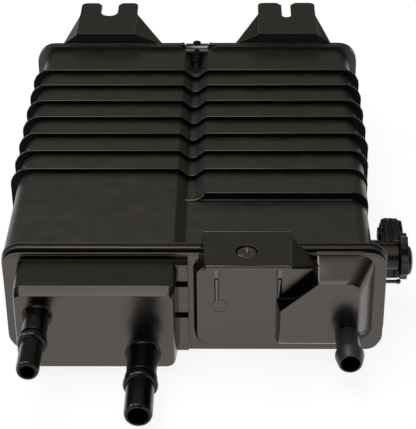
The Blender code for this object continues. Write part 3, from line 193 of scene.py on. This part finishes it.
# Glass-filled nylon out of a satin mould: near black with faint clouds, and a broad soft sheen.
HOUSING_NYLON = moulded_plastic(
    "glass_filled_nylon_moulded", "#030302", "#070605", 0.31, 0.43, 0.9, 0.012, specular=1.0, edge_mm=0.1
)
housing = dress("canister_housing", "ribbed_housing", HOUSING_NYLON, 0.12)


def pick(piece, low, high):
    """Selects the piece's points inside a box in millimetres."""
    make_active(piece)
    bpy.ops.object.mode_set(mode="EDIT")
    bpy.ops.mesh.select_all(action="DESELECT")
    bpy.ops.object.mode_set(mode="OBJECT")
    low, high = at(*low), at(*high)
    for vertex in piece.data.vertices:
        vertex.select = all(low[k] < vertex.co[k] < high[k] for k in range(3))


def slide(piece, low, high, step_mm):
    """Moves the points inside a box."""
    pick(piece, low, high)
    bpy.ops.object.mode_set(mode="EDIT")
    bpy.ops.transform.translate(value=[step * MM for step in step_mm])
    bpy.ops.object.mode_set(mode="OBJECT")


def refinish(piece, surface, low, high):
    """Gives the faces inside a box a second finish."""
    pick(piece, low, high)
    if surface.name not in piece.data.materials:
        piece.data.materials.append(surface)
    second = piece.data.materials.find(surface.name)
    for face in piece.data.polygons:
        if all(piece.data.vertices[k].select for k in face.vertices):
            face.material_index = second


# The locating peg's ball stands a little further out.
slide(housing, (118.7, 27, 24), (124, 33, 30), (2.3, 0, 0))

# Painted shade: a darker copy of the nylon, dull and with little reflection, is put where shade falls:
# the post in the groove, each rib's front face and the face of the step.
SHADE_DARKENED_NYLON = moulded_plastic(
    "glass_filled_nylon_painted_shade", "#030303", "#070605", 0.45, 0.6, 0.5, 0.03, specular=0.12, edge_mm=0.2
)
RIB_COUNT, RIB_PITCH, FIRST_RIB_FRONT = 7, 21.445, 88.1
refinish(housing, SHADE_DARKENED_NYLON, (-4.2, 224.0, 54.0), (4.2, 254.6, 67.5))
for count in range(RIB_COUNT):
    front = FIRST_RIB_FRONT + RIB_PITCH * count
    refinish(housing, SHADE_DARKENED_NYLON, (-112.0, front - 0.3, -1.0), (112.0, front + 0.35, 70.0))
refinish(housing, SHADE_DARKENED_NYLON, (1.0, 63.6, -1.0), (112.0, 65.4, 67.2))


def settle(piece, name, surface, smooth_below=SMOOTH_BELOW):
    """Puts a new piece's place into its mesh, shades it, and gives it its name, material and body."""
    make_active(piece)
    bpy.ops.object.transform_apply(location=True, rotation=True, scale=True)
    edit_all()
    bpy.ops.mesh.normals_make_consistent(inside=False)
    bpy.ops.object.mode_set(mode="OBJECT")
    bpy.ops.object.shade_smooth_by_angle(angle=math.radians(smooth_below))
    piece.name = piece.data.name = name
    piece.data.materials.clear()
    piece.data.materials.append(surface)
    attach(piece, "root")


def thicken(piece, wall_mm, side, edge_mm):
    """Gives an open ribbon its wall, and softens the wall's edges."""
    wall = piece.modifiers.new("wall", "SOLIDIFY")
    wall.thickness = wall_mm * MM
    wall.offset = side
    bpy.ops.object.modifier_apply(modifier=wall.name)
    edge = piece.modifiers.new("soft edges", "BEVEL")
    edge.width = edge_mm * MM
    edge.segments = 2
    bpy.ops.object.modifier_apply(modifier=edge.name)


FLANGE_LEFT, FLANGE_RIGHT, FLANGE_TOP, FLANGE_CORNER = -105.2, 111.6, 67.7, 9.5
CORNER_STEPS = 6


def flange_path(inset_mm, low):
    """Points (x, z) round the front flange, inset_mm inside its edge and with the lower run at height low."""
    left, right, high = FLANGE_LEFT + inset_mm, FLANGE_RIGHT - inset_mm, FLANGE_TOP - inset_mm
    corners = [(left, high, -1, 1), (right, high, 1, 1), (right, low, 1, -1), (left, low, -1, -1)]
    radius = FLANGE_CORNER - inset_mm
    points = []
    for count, (x, z, sx, sz) in enumerate(corners):
        for k in range(CORNER_STEPS + 1):
            angle = math.pi - math.pi / 2 * (count + k / CORNER_STEPS)
            points.append((x + radius * (math.cos(angle) - sx), z + radius * (math.sin(angle) - sz)))
    return points


def rim_band(name, outline, y, width_mm, stand_mm, surface):
    """A flat band that follows a rim: a closed ribbon along Y, thickened and softened at its edges."""
    mesh = bpy.data.meshes.new(name)
    last = len(outline)
    mesh.from_pydata([at(px, y, pz) for px, pz in outline], [(k, (k + 1) % last) for k in range(last)], [])
    piece = add_piece(name, mesh)
    edit_all()
    bpy.ops.mesh.extrude_region_move(TRANSFORM_OT_translate={"value": (0, width_mm * MM, 0)})
    bpy.ops.object.mode_set(mode="OBJECT")
    thicken(piece, stand_mm, 0, 0.2)
    settle(piece, name, surface)


MERGE_ROD = 0.000005  # metres
ROUND_SMOOTH = 60  # degrees
LUMP_WIDTH = 2.6


def rod(name, points, radius_mm, surface, closed=False, lumps_mm=0.0):
    """A round bead through points in millimetres. lumps_mm makes it uneven, like squeezed-out plastic."""
    curve = bpy.data.curves.new(name, "CURVE")
    curve.dimensions = "3D"
    curve.bevel_depth = radius_mm * MM
    curve.bevel_resolution = 2
    curve.use_fill_caps = not closed
    line = curve.splines.new("POLY")
    line.points.add(len(points) - 1)
    for point, place in zip(line.points, points):
        point.co = (*at(*place), 1)
    line.use_cyclic_u = closed
    piece = add_piece(name, curve)
    bpy.ops.object.convert(target="MESH")
    edit_all()
    bpy.ops.mesh.remove_doubles(threshold=MERGE_ROD)
    bpy.ops.object.mode_set(mode="OBJECT")
    if lumps_mm:
        noise = bpy.data.textures.new(name + "_lumps", "CLOUDS")
        noise.noise_scale = LUMP_WIDTH * MM
        push = piece.modifiers.new("lumps", "DISPLACE")
        push.texture = noise
        push.texture_coords = "LOCAL"
        push.strength = lumps_mm * MM
        push.mid_level = 0.5
        bpy.ops.object.modifier_apply(modifier=push.name)
    settle(piece, name, surface, ROUND_SMOOTH)


# The flange's rear lip, the curled end of the groove's step, and the plastic that the weld squeezed out.
rim_band("housing_flange_lip", flange_path(0.0, 1.6), 8.2, 0.9, 1.9, HOUSING_NYLON)
groove_end = [
    (-6.8, 66.2, 62.4), (-5.2, 64.3, 61.9), (-1.5, 63.7, 61.7),
    (3.0, 63.8, 61.8), (6.4, 64.2, 63.2), (8.6, 64.6, 65.9),
]
rod("groove_end_lip", groove_end, 0.75, HOUSING_NYLON)
weld = [(px, 5.0, pz) for px, pz in flange_path(0.35, 1.3)]
rod("front_weld_flash", weld, 0.75, HOUSING_NYLON, closed=True, lumps_mm=1.8)

# The same nylon off a polished mould, or at a sharp parting line: it mirrors the room with little blur.
COVER_NYLON = moulded_plastic(
    "glass_filled_nylon_polished_mould", "#070605", "#0b0a08", 0.17, 0.25, 0.7, 0.008, specular=1.0, edge_mm=0.3
)

# Each rib's front edge carries the mould's fine parting line, which catches the light along the crest,
# and so do the step's two edges. The first two ribs are a little narrower on the right.
LEFT_EDGE = [(-110.5, 57.0), (-110.0, 60.8), (-108.3, 64.2), (-105.6, 66.9), (-102.2, 68.6), (-98.4, 69.15)]
DIP = [(-9.0, 69.15), (-7.8, 68.8), (-2.5, 64.6), (-1.3, 64.2), (1.3, 64.2), (2.5, 64.6), (7.8, 68.8), (9.0, 69.15)]
CREST_SET_BACK, CREST_RADIUS, STEP_LINE_RADIUS = 0.1, 0.33, 0.36
for count, narrower in enumerate((3.5, 1.6, 0.0, 0.0, 0.0, 0.0, 0.0)):
    y = FIRST_RIB_FRONT + CREST_SET_BACK + RIB_PITCH * count
    right_edge = [(-px - narrower, pz) for px, pz in LEFT_EDGE[::-1]]
    crest = [(px, y, pz) for px, pz in LEFT_EDGE + DIP + right_edge]
    rod("rib_crest_%d" % (count + 1), crest, CREST_RADIUS, COVER_NYLON)
for name, left, y, z in (("step_crest", 9.0, 65.0, 66.4), ("step_foot", 4.0, 63.9, 62.0)):
    rod(name, [(left, y, z), (96.0, y, z)], STEP_LINE_RADIUS, COVER_NYLON)


# Front cover: one moulding with the ports, the boxes and the mounting tab.
# It's the same nylon, off a smoother mould, and is welded to the housing's front flange.
cover = dress("front_cover", "front_cover_moulding", COVER_NYLON, 0.4)

# Painted shade: the two stems on the manifold box are smooth, and a darker copy of the nylon that reflects less
# stands in for their shade, so they look deeper black.
STEM_NYLON = moulded_plastic(
    "glass_filled_nylon_stem_painted_shade", "#040404", "#080706", 0.20, 0.27, 0.5, 0.004, specular=0.3, edge_mm=0.3
)
refinish(cover, STEM_NYLON, (-100.0, -80.0, 2.0), (-10.0, -26.3, 56.0))

# Painted shade: the manifold box's top gets a darker copy of the nylon, which mirrors less of the room.
BOX_TOP_NYLON = moulded_plastic(
    "glass_filled_nylon_box_top_painted_shade", "#060504", "#0a0907", 0.18, 0.27, 0.7, 0.008, specular=0.6, edge_mm=0.3
)
refinish(cover, BOX_TOP_NYLON, (-104.0, -23.4, 60.0), (-3.0, 0.9, 64.2))

# Nylon scuffed by a hose that was pushed on and off: the vent barb's end is hazy, and greyer than the rest.
BARB_NYLON = moulded_plastic(
    "glass_filled_nylon_scuffed_grey", "#202025", "#303037", 0.34, 0.48, 0.6, 0.01, specular=0.5, edge_mm=0.3
)
refinish(cover, BARB_NYLON, (80.0, -80.0, 9.0), (101.0, -14.6, 32.0))

# The cover's rim ends in a thin upright lip in front of the weld.
rim_band("front_cover_rim_lip", flange_path(1.2, 1.7), 0.15, 1.0, 1.7, COVER_NYLON)

FACING_FRONT = (math.pi / 2, 0, 0)


def ring(name, centre, radius_mm, wire_mm, surface):
    """A torus that faces the front: a moulded ring or a raised mark."""
    bpy.ops.mesh.primitive_torus_add(
        major_radius=radius_mm * MM, minor_radius=wire_mm * MM, major_segments=48, minor_segments=12,
        location=at(*centre), rotation=FACING_FRONT,
    )
    settle(bpy.context.object, name, surface, ROUND_SMOOTH)


BOX_FACE_Y = -26.0
SLEEVE, FLARE, BURIED = 0.66, 1.7, 0.6  # the root's sleeve on the stem, its flare, and what's hidden in the box
SPIN_STEPS = 48


def stem_rings(name, x, z, radius, bead_y):
    """A stem's flared root, spun from its curved profile, and the thin ring behind its bead."""
    ring(name + "_back_ring", (x, bead_y + 5.4, z), radius + 0.5, 0.7, STEM_NYLON)
    front = bead_y + 5.6
    profile = [(radius - BURIED, BOX_FACE_Y + BURIED), (radius - BURIED, front), (radius + SLEEVE, front)]
    for angle in [math.radians(90 - 10 * k) for k in range(10)]:
        out, back = FLARE * (1 - math.sin(angle)), FLARE * (1 - math.cos(angle))
        profile.append((radius + SLEEVE + out, BOX_FACE_Y - back))
    profile.append((radius + SLEEVE + FLARE, BOX_FACE_Y + BURIED))
    last = len(profile)
    mesh = bpy.data.meshes.new(name + "_flared_root")
    mesh.from_pydata([at(x, y, z + r) for r, y in profile], [(k, (k + 1) % last) for k in range(last)], [])
    piece = add_piece(mesh.name, mesh)
    edit_all()
    bpy.ops.mesh.spin(steps=SPIN_STEPS, angle=2 * math.pi, center=at(x, 0, z), axis=(0, 1, 0))
    bpy.ops.mesh.select_all(action="SELECT")
    bpy.ops.mesh.remove_doubles(threshold=MERGE_CAD)
    bpy.ops.object.mode_set(mode="OBJECT")
    settle(piece, name + "_flared_root", STEM_NYLON, 50)


stem_rings("purge_stem", -83.3, 43.2, 6.3, -50.8)
stem_rings("tank_stem", -25.5, 16.8, 7.9, -53.3)

# The manifold box's front edge has a fine raised line, and the tab's edges are rolled and catch the light.
for name, points, radius in (
    ("box_edge_line", [(-92.0, -26.1, 56.75), (-9.5, -26.1, 56.75)], 0.42),
    ("tab_front_roll", [(10.9, -22.75, 73.95), (34.0, -22.9, 73.8), (56.4, -22.75, 73.95)], 1.3),
    ("tab_rear_roll", [(8.6, 10.2, 75.0), (57.6, 10.2, 75.0)], 0.45),
):
    rod(name, points, radius, COVER_NYLON)

# Each support rib ends in a curved foot, and the left foot stands on a round gate mark.
FOOT = [(-16.5, 62.0), (-11.2, 51.5), (-7.4, 45.0), (-5.6, 41.5), (-4.9, 38.6)]
for word, x in (("left", 16.0), ("right", 51.1)):
    rod(word + "_support_rib_foot", [(x, y, z) for y, z in FOOT], 1.3, COVER_NYLON)
ring("gate_mark", (17.6, -5.0, 34.6), 4.2, 0.22, COVER_NYLON)


# Rear cover: one moulding that closes the return passage, with two notched tongues on their hoods.
# It's the same nylon off a smooth mould, and is welded to the housing's rear flange.
rear = dress("rear_cover", "rear_cover_moulding", COVER_NYLON, 0.4)

# The nub on the tray is low and wide, and takes the same painted shade.
pick(rear, (-2.3, 257.0, 66.5), (2.3, 261.6, 71.5))
bpy.ops.object.mode_set(mode="EDIT")
bpy.ops.transform.resize(value=(1.5, 1.5, 0.7), center_override=at(0, 259.3, 66.3))
bpy.ops.object.mode_set(mode="OBJECT")
refinish(rear, SHADE_DARKENED_NYLON, (-4.0, 255.5, 66.2), (4.0, 263.5, 71.5))

# The tray's lip leans back and turns up at both ends: a ribbon between two outlines, thickened behind.
LIP_FOOT_Y, LIP_TOP_Y = 253.6, 256.7
lower = [(0.0, 64.6), (7.8, 64.6), (8.8, 64.6), (9.6, 64.9), (10.4, 65.6), (11.2, 66.6), (12.0, 67.8)]
upper = [(0.0, 67.6), (6.6, 67.6), (7.6, 68.0), (8.4, 69.3), (9.2, 70.1), (10.2, 70.1), (10.8, 69.4)]
lower = [(-px, pz) for px, pz in lower[:0:-1]] + lower
upper = [(-px, pz) for px, pz in upper[:0:-1]] + upper
last = len(upper)
mesh = bpy.data.meshes.new("tray_lip")
mesh.from_pydata(
    [at(px, LIP_FOOT_Y, pz) for px, pz in lower] + [at(px, LIP_TOP_Y, pz) for px, pz in upper],
    [],
    [(k, k + 1, k + 1 + last, k + last) for k in range(last - 1)],
)
lip = add_piece("tray_lip", mesh)
thicken(lip, 1.0, -1, 0.3)
settle(lip, "tray_lip", COVER_NYLON)


# Push nut: a slotted disc pressed from spring steel, blackened and oiled.
# It sits in the mounting tab's hole, and its three slots grip the stud that comes up through it.
STREAK_STRETCH = (1, 0.08, 1)
FILM_WIDTH = 2.5
METAL_GRAIN_DEPTH = 0.004


def pressed_metal(name, dark, light, rough_low, rough_high, streak_mm, edge_mm=0.15):
    """Sheet or wire metal: rolled streaks in the gloss and a mottled surface film."""
    made = bpy.data.materials.new(name)
    made.use_nodes = True
    tree = made.node_tree
    shader = tree.nodes["Principled BSDF"]
    shader.inputs["Metallic"].default_value = 1.0
    place = add_node(tree, "ShaderNodeTexCoord").outputs["Object"]
    drawn = add_node(tree, "ShaderNodeMapping", inputs={"Vector": place, "Scale": STREAK_STRETCH}).outputs["Vector"]
    streak = add_node(
        tree, "ShaderNodeTexNoise", inputs={"Vector": drawn, "Scale": PER_MM / streak_mm, "Detail": 3.0}
    ).outputs["Fac"]
    film = add_node(
        tree, "ShaderNodeTexNoise", inputs={"Vector": place, "Scale": PER_MM / FILM_WIDTH, "Detail": 4.0}
    ).outputs["Fac"]
    colour = add_node(
        tree, "ShaderNodeValToRGB", inputs={"Fac": film}, stops=[(0.35, dark), (0.65, light)]
    ).outputs["Color"]
    gloss = add_node(
        tree, "ShaderNodeMapRange",
        inputs={"Value": streak, "From Min": 0.3, "From Max": 0.7, "To Min": rough_low, "To Max": rough_high},
    ).outputs["Result"]
    edge = add_node(tree, "ShaderNodeBevel", {"samples": 6}, {"Radius": edge_mm * MM}).outputs["Normal"]
    bump = add_node(
        tree, "ShaderNodeBump",
        inputs={"Strength": 0.5, "Distance": METAL_GRAIN_DEPTH * MM, "Height": streak, "Normal": edge},
    ).outputs["Normal"]
    tree.links.new(colour, shader.inputs["Base Color"])
    tree.links.new(gloss, shader.inputs["Roughness"])
    tree.links.new(bump, shader.inputs["Normal"])
    return made


# Spring steel, pressed and then blackened: dark grey, with an oily glint that shows its rolled streaks.
NUT_STEEL = pressed_metal("spring_steel_blackened_oiled", "#5a564e", "#7c776d", 0.25, 0.4, 0.4)
dress("tab_push_nut", "slotted_push_nut", NUT_STEEL, 0.12)


# Vent valve: a moulded body with its plug socket, and a lobed end cap.
# Both are a drier, matt nylon, and the body's plug-in spigot seals in the housing's boss with a rubber ring.

# Nylon moulded matt: a soft, even sheen with finer clouds than the canister's.
VALVE_NYLON = moulded_plastic(
    "nylon_matt_moulded", "#060605", "#0d0c0b", 0.26, 0.38, 0.5, 0.02, cloud_mm=12.0, specular=0.35, edge_mm=0.3
)
valve = dress("valve_body", "valve_body_moulding", VALVE_NYLON, 0.2)

# The plug socket's far corners are cut back, in strips from left to right.
for left, right, back in (
    (111.0, 112.3, 3.2), (112.3, 113.1, 1.8), (113.1, 114.3, 0.6), (121.2, 122.3, 0.8),
    (122.3, 123.7, 2.2), (123.7, 124.9, 3.6), (124.9, 126.5, 5.0),
):
    slide(valve, (left, 56.0, 40.0), (right, 59.0, 54.5), (0, -back, 0))
dress("valve_end_cap", "valve_lobed_cap", VALVE_NYLON, 0.2)


def soft_block(name, low, high, round_mm):
    """A block between two corners in millimetres, with all its edges rounded."""
    bpy.ops.mesh.primitive_cube_add(size=1, location=(at(*low) + at(*high)) / 2)
    piece = bpy.context.object
    piece.scale = at(*high) - at(*low)
    bpy.ops.object.transform_apply(location=True, rotation=True, scale=True)
    edit_all()
    bpy.ops.mesh.bevel(offset=round_mm * MM, segments=3, affect="EDGES")
    bpy.ops.object.mode_set(mode="OBJECT")
    settle(piece, name, VALVE_NYLON)


# The socket's latch block with its grip ribs, the square collar in front of it, and the lug under the cap.
soft_block("connector_latch_block", (112.1, 30.5, 44.0), (120.9, 44.4, 53.2), 1.2)
soft_block("latch_grip_left", (113.5, 32.0, 51.5), (116.9, 56.2, 54.3), 1.1)
soft_block("latch_grip_right", (118.2, 32.0, 51.5), (123.2, 54.6, 54.3), 1.1)
soft_block("valve_square_collar", (105.9, 29.6, 37.5), (121.4, 31.2, 54.3), 0.7)
soft_block("valve_lower_lug", (118.5, 26.2, 31.6), (123.9, 32.5, 38.4), 1.3)


# The valve's seal and terminals: a moulded rubber ring in the spigot's groove,
# and two blades stamped from sheet brass, which stand in the plug socket's floor.
def dress_plain(surface, *names):
    """The CAD's own shape is right for these: they only get the finish."""
    for name in names:
        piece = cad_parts[name]
        piece.data.materials.clear()
        piece.data.materials.append(surface)


# Nitrile rubber, moulded: dull dark grey with a faint bloom.
SEAL_RUBBER = moulded_plastic(
    "nitrile_rubber_moulded", "#131313", "#1a1a1a", 0.5, 0.65, 0.3, 0.01, cloud_mm=5.0, specular=0.4, edge_mm=0.05
)
dress_plain(SEAL_RUBBER, "valve_seal")

# Brass, tin plated: pale and bright, with fine streaks from rolling.
TERMINAL_TIN = pressed_metal("brass_tin_plated", "#b9b6ae", "#cfccc4", 0.2, 0.35, 0.2, edge_mm=0.05)
dress_plain(TERMINAL_TIN, "valve_terminal_1", "valve_terminal_2")


# Packing: the same set in each chamber, put in from behind before the rear cover is welded on.
# Felt pads hold the carbon in, and coil springs push a perforated plate against it.
def loose_fill(name, dark, light, lump_mm, lump_depth_mm, roughness):
    """A bed or mat of small lumps or fibres, dull all over."""
    made = bpy.data.materials.new(name)
    made.use_nodes = True
    tree = made.node_tree
    shader = tree.nodes["Principled BSDF"]
    place = add_node(tree, "ShaderNodeTexCoord").outputs["Object"]
    lump = add_node(
        tree, "ShaderNodeTexVoronoi", inputs={"Vector": place, "Scale": PER_MM / lump_mm}
    ).outputs["Distance"]
    fuzz = add_node(
        tree, "ShaderNodeTexNoise", inputs={"Vector": place, "Scale": PER_MM / (lump_mm * 0.5), "Detail": 5.0}
    ).outputs["Fac"]
    colour = add_node(
        tree, "ShaderNodeValToRGB", inputs={"Fac": fuzz}, stops=[(0.3, dark), (0.7, light)]
    ).outputs["Color"]
    bump = add_node(
        tree, "ShaderNodeBump", {"invert": True}, {"Distance": lump_depth_mm * MM, "Height": lump}
    ).outputs["Normal"]
    tree.links.new(colour, shader.inputs["Base Color"])
    tree.links.new(bump, shader.inputs["Normal"])
    shader.inputs["Roughness"].default_value = roughness
    return made


# Activated carbon, extruded as pellets 2 mm thick: lumpy, and a dull black.
CARBON = loose_fill("activated_carbon_extruded_pellets", "#0f0f0f", "#1d1d1d", 2.0, 0.9, 0.85)
dress_plain(CARBON, "main_carbon_bed", "vent_carbon_bed")

# Polyester felt, needled: pale and fuzzy, with no gloss.
FELT = loose_fill("polyester_felt_needled", "#c3c0b6", "#d8d5cc", 0.6, 0.15, 0.95)
dress_plain(FELT, "main_front_filter", "main_rear_filter", "vent_front_filter", "vent_rear_filter")

# Nylon with no glass in it, moulded: dark grey, even and soft.
PLATE_NYLON = moulded_plastic("nylon_plain_moulded", "#2b2b2b", "#333333", 0.4, 0.55, 0.6, 0.02)
dress_plain(PLATE_NYLON, "main_pressure_plate", "vent_pressure_plate")

# Stainless steel, drawn into wire: bright, with fine streaks from the die.
SPRING_STEEL = pressed_metal("stainless_steel_drawn_wire", "#a9a9ab", "#c0c0c2", 0.22, 0.38, 0.25, edge_mm=0.05)
dress_plain(SPRING_STEEL, "main_1_spring", "main_2_spring", "vent_1_spring", "vent_2_spring")


# Floor: a wide white table of matt paper, under the canister and out past the view.
# What the camera and the gloss see of it is mostly plain white, and the rest keeps the canister's shadow.
bpy.ops.mesh.primitive_plane_add(size=24, location=(0, 0, 0))
floor = bpy.context.object
floor.name = "white_table"
TABLE_PAPER = bpy.data.materials.new("white_table_paper")
TABLE_PAPER.use_nodes = True
tree = TABLE_PAPER.node_tree
paper = tree.nodes["Principled BSDF"]
paper.inputs["Base Color"].default_value = linear("#f1f1f1")
paper.inputs["Roughness"].default_value = 0.9
paper.inputs["Specular IOR Level"].default_value = 0.1
GLOW_SHARE, GLOW_STRENGTH = 0.8, 1.11  # together a little under white, which the lit paper tops up
glow = add_node(tree, "ShaderNodeEmission", inputs={"Color": linear("#ffffff"), "Strength": GLOW_STRENGTH})
path = add_node(tree, "ShaderNodeLightPath")
seen = path.outputs["Is Camera Ray"]
for kind in ("Is Glossy Ray", "Is Transmission Ray"):
    seen = add_node(tree, "ShaderNodeMath", {"operation": "MAXIMUM"}, {0: seen, 1: path.outputs[kind]}).outputs[0]
share = add_node(tree, "ShaderNodeMapRange", inputs={"Value": seen, "To Min": 0.0, "To Max": GLOW_SHARE})
both = add_node(
    tree, "ShaderNodeMixShader",
    inputs={0: share.outputs["Result"], 1: paper.outputs["BSDF"], 2: glow.outputs["Emission"]},
)
tree.links.new(both.outputs["Shader"], tree.nodes["Material Output"].inputs["Surface"])
floor.data.materials.append(TABLE_PAPER)


# Light: three soft boxes, above, above the front and at the left,
# in a grey tent that is palest overhead and goes dark low down in front.
def soft_box(name, place, target, size, watts):
    data = bpy.data.lights.new(name, "AREA")
    data.shape = "RECTANGLE"
    data.size, data.size_y = size
    data.energy = watts
    lamp = bpy.data.objects.new(name, data)
    bpy.context.scene.collection.objects.link(lamp)
    lamp.location = place
    lamp.rotation_euler = (Vector(target) - Vector(place)).to_track_quat("-Z", "Y").to_euler()


soft_box("top_soft_box", (-0.35, 0.05, 1.15), (0, 0, 0), (0.8, 0.8), 5.8)
soft_box("front_top_soft_box", (0.0, -0.74, 1.10), (0, -0.08, 0), (0.9, 0.85), 2.7)
soft_box("left_soft_box", (-1.0, 0.35, 0.7), (0, 0, 0), (0.5, 0.5), 3)

world = bpy.data.worlds.new("light_tent")
bpy.context.scene.world = world
world.use_nodes = True
tree = world.node_tree
direction = add_node(tree, "ShaderNodeTexCoord").outputs["Generated"]
apart = add_node(tree, "ShaderNodeSeparateXYZ", inputs={"Vector": direction}).outputs
tent = add_node(
    tree, "ShaderNodeValToRGB", inputs={"Fac": apart["Z"]},
    stops=[
        (0.0, "#6c6966"), (0.25, "#4a4845"), (0.5, "#76776f"),
        (0.7, "#85867f"), (0.85, "#b0aca4"), (1.0, "#c8c4bc"),
    ],
).outputs["Color"]
ahead = add_node(
    tree, "ShaderNodeMapRange",
    inputs={"Value": apart["Y"], "From Min": -0.75, "From Max": 0.0, "To Min": 1.0, "To Max": 0.0},
).outputs["Result"]
low_down = add_node(
    tree, "ShaderNodeMapRange",
    inputs={"Value": apart["Z"], "From Min": 0.45, "From Max": 0.8, "To Min": 1.0, "To Max": 0.0},
).outputs["Result"]
shade = add_node(tree, "ShaderNodeMath", {"operation": "MULTIPLY"}, {0: ahead, 1: low_down}).outputs[0]
COLOUR_A, COLOUR_B, COLOUR_OUT = 6, 7, 2  # a Mix node's colour sockets, which share their names with others
room = add_node(
    tree, "ShaderNodeMix", {"data_type": "RGBA"}, {"Factor": shade, COLOUR_A: tent, COLOUR_B: linear("#0d0d0c")}
)
background = tree.nodes["Background"]
tree.links.new(room.outputs[COLOUR_OUT], background.inputs["Color"])
background.inputs["Strength"].default_value = 1.0


# Camera: the photograph's place and lens, high in front of the ports and looking down at them.
# Both come from a fit to the housing's edges, and nothing is out of focus.
CAMERA_PLACE = (24.8, -703.98, 549.99)
PITCH, YAW, ROLL = math.radians(32.97), math.radians(-1.09), math.radians(-0.58)
FOCAL_PX, LONG_SIDE_PX, SENSOR_MM = 1528.64, 429, 36
forward = Vector((math.sin(YAW) * math.cos(PITCH), math.cos(YAW) * math.cos(PITCH), -math.sin(PITCH)))
level = Vector((math.cos(YAW), -math.sin(YAW), 0))
upright = level.cross(forward)
side = math.cos(ROLL) * level + math.sin(ROLL) * upright
head = -math.sin(ROLL) * level + math.cos(ROLL) * upright
lens = bpy.data.cameras.new("camera")
lens.sensor_width = SENSOR_MM
lens.sensor_fit = "AUTO"
lens.lens = FOCAL_PX * SENSOR_MM / LONG_SIDE_PX
lens.clip_end = 20
camera = bpy.data.objects.new("camera", lens)
bpy.context.scene.collection.objects.link(camera)
turn = Matrix((side, head, -forward)).transposed().to_4x4()
camera.matrix_world = Matrix.Translation(at(*CAMERA_PLACE)) @ turn
bpy.context.scene.camera = camera
bpy.context.scene.view_settings.view_transform = "Standard"
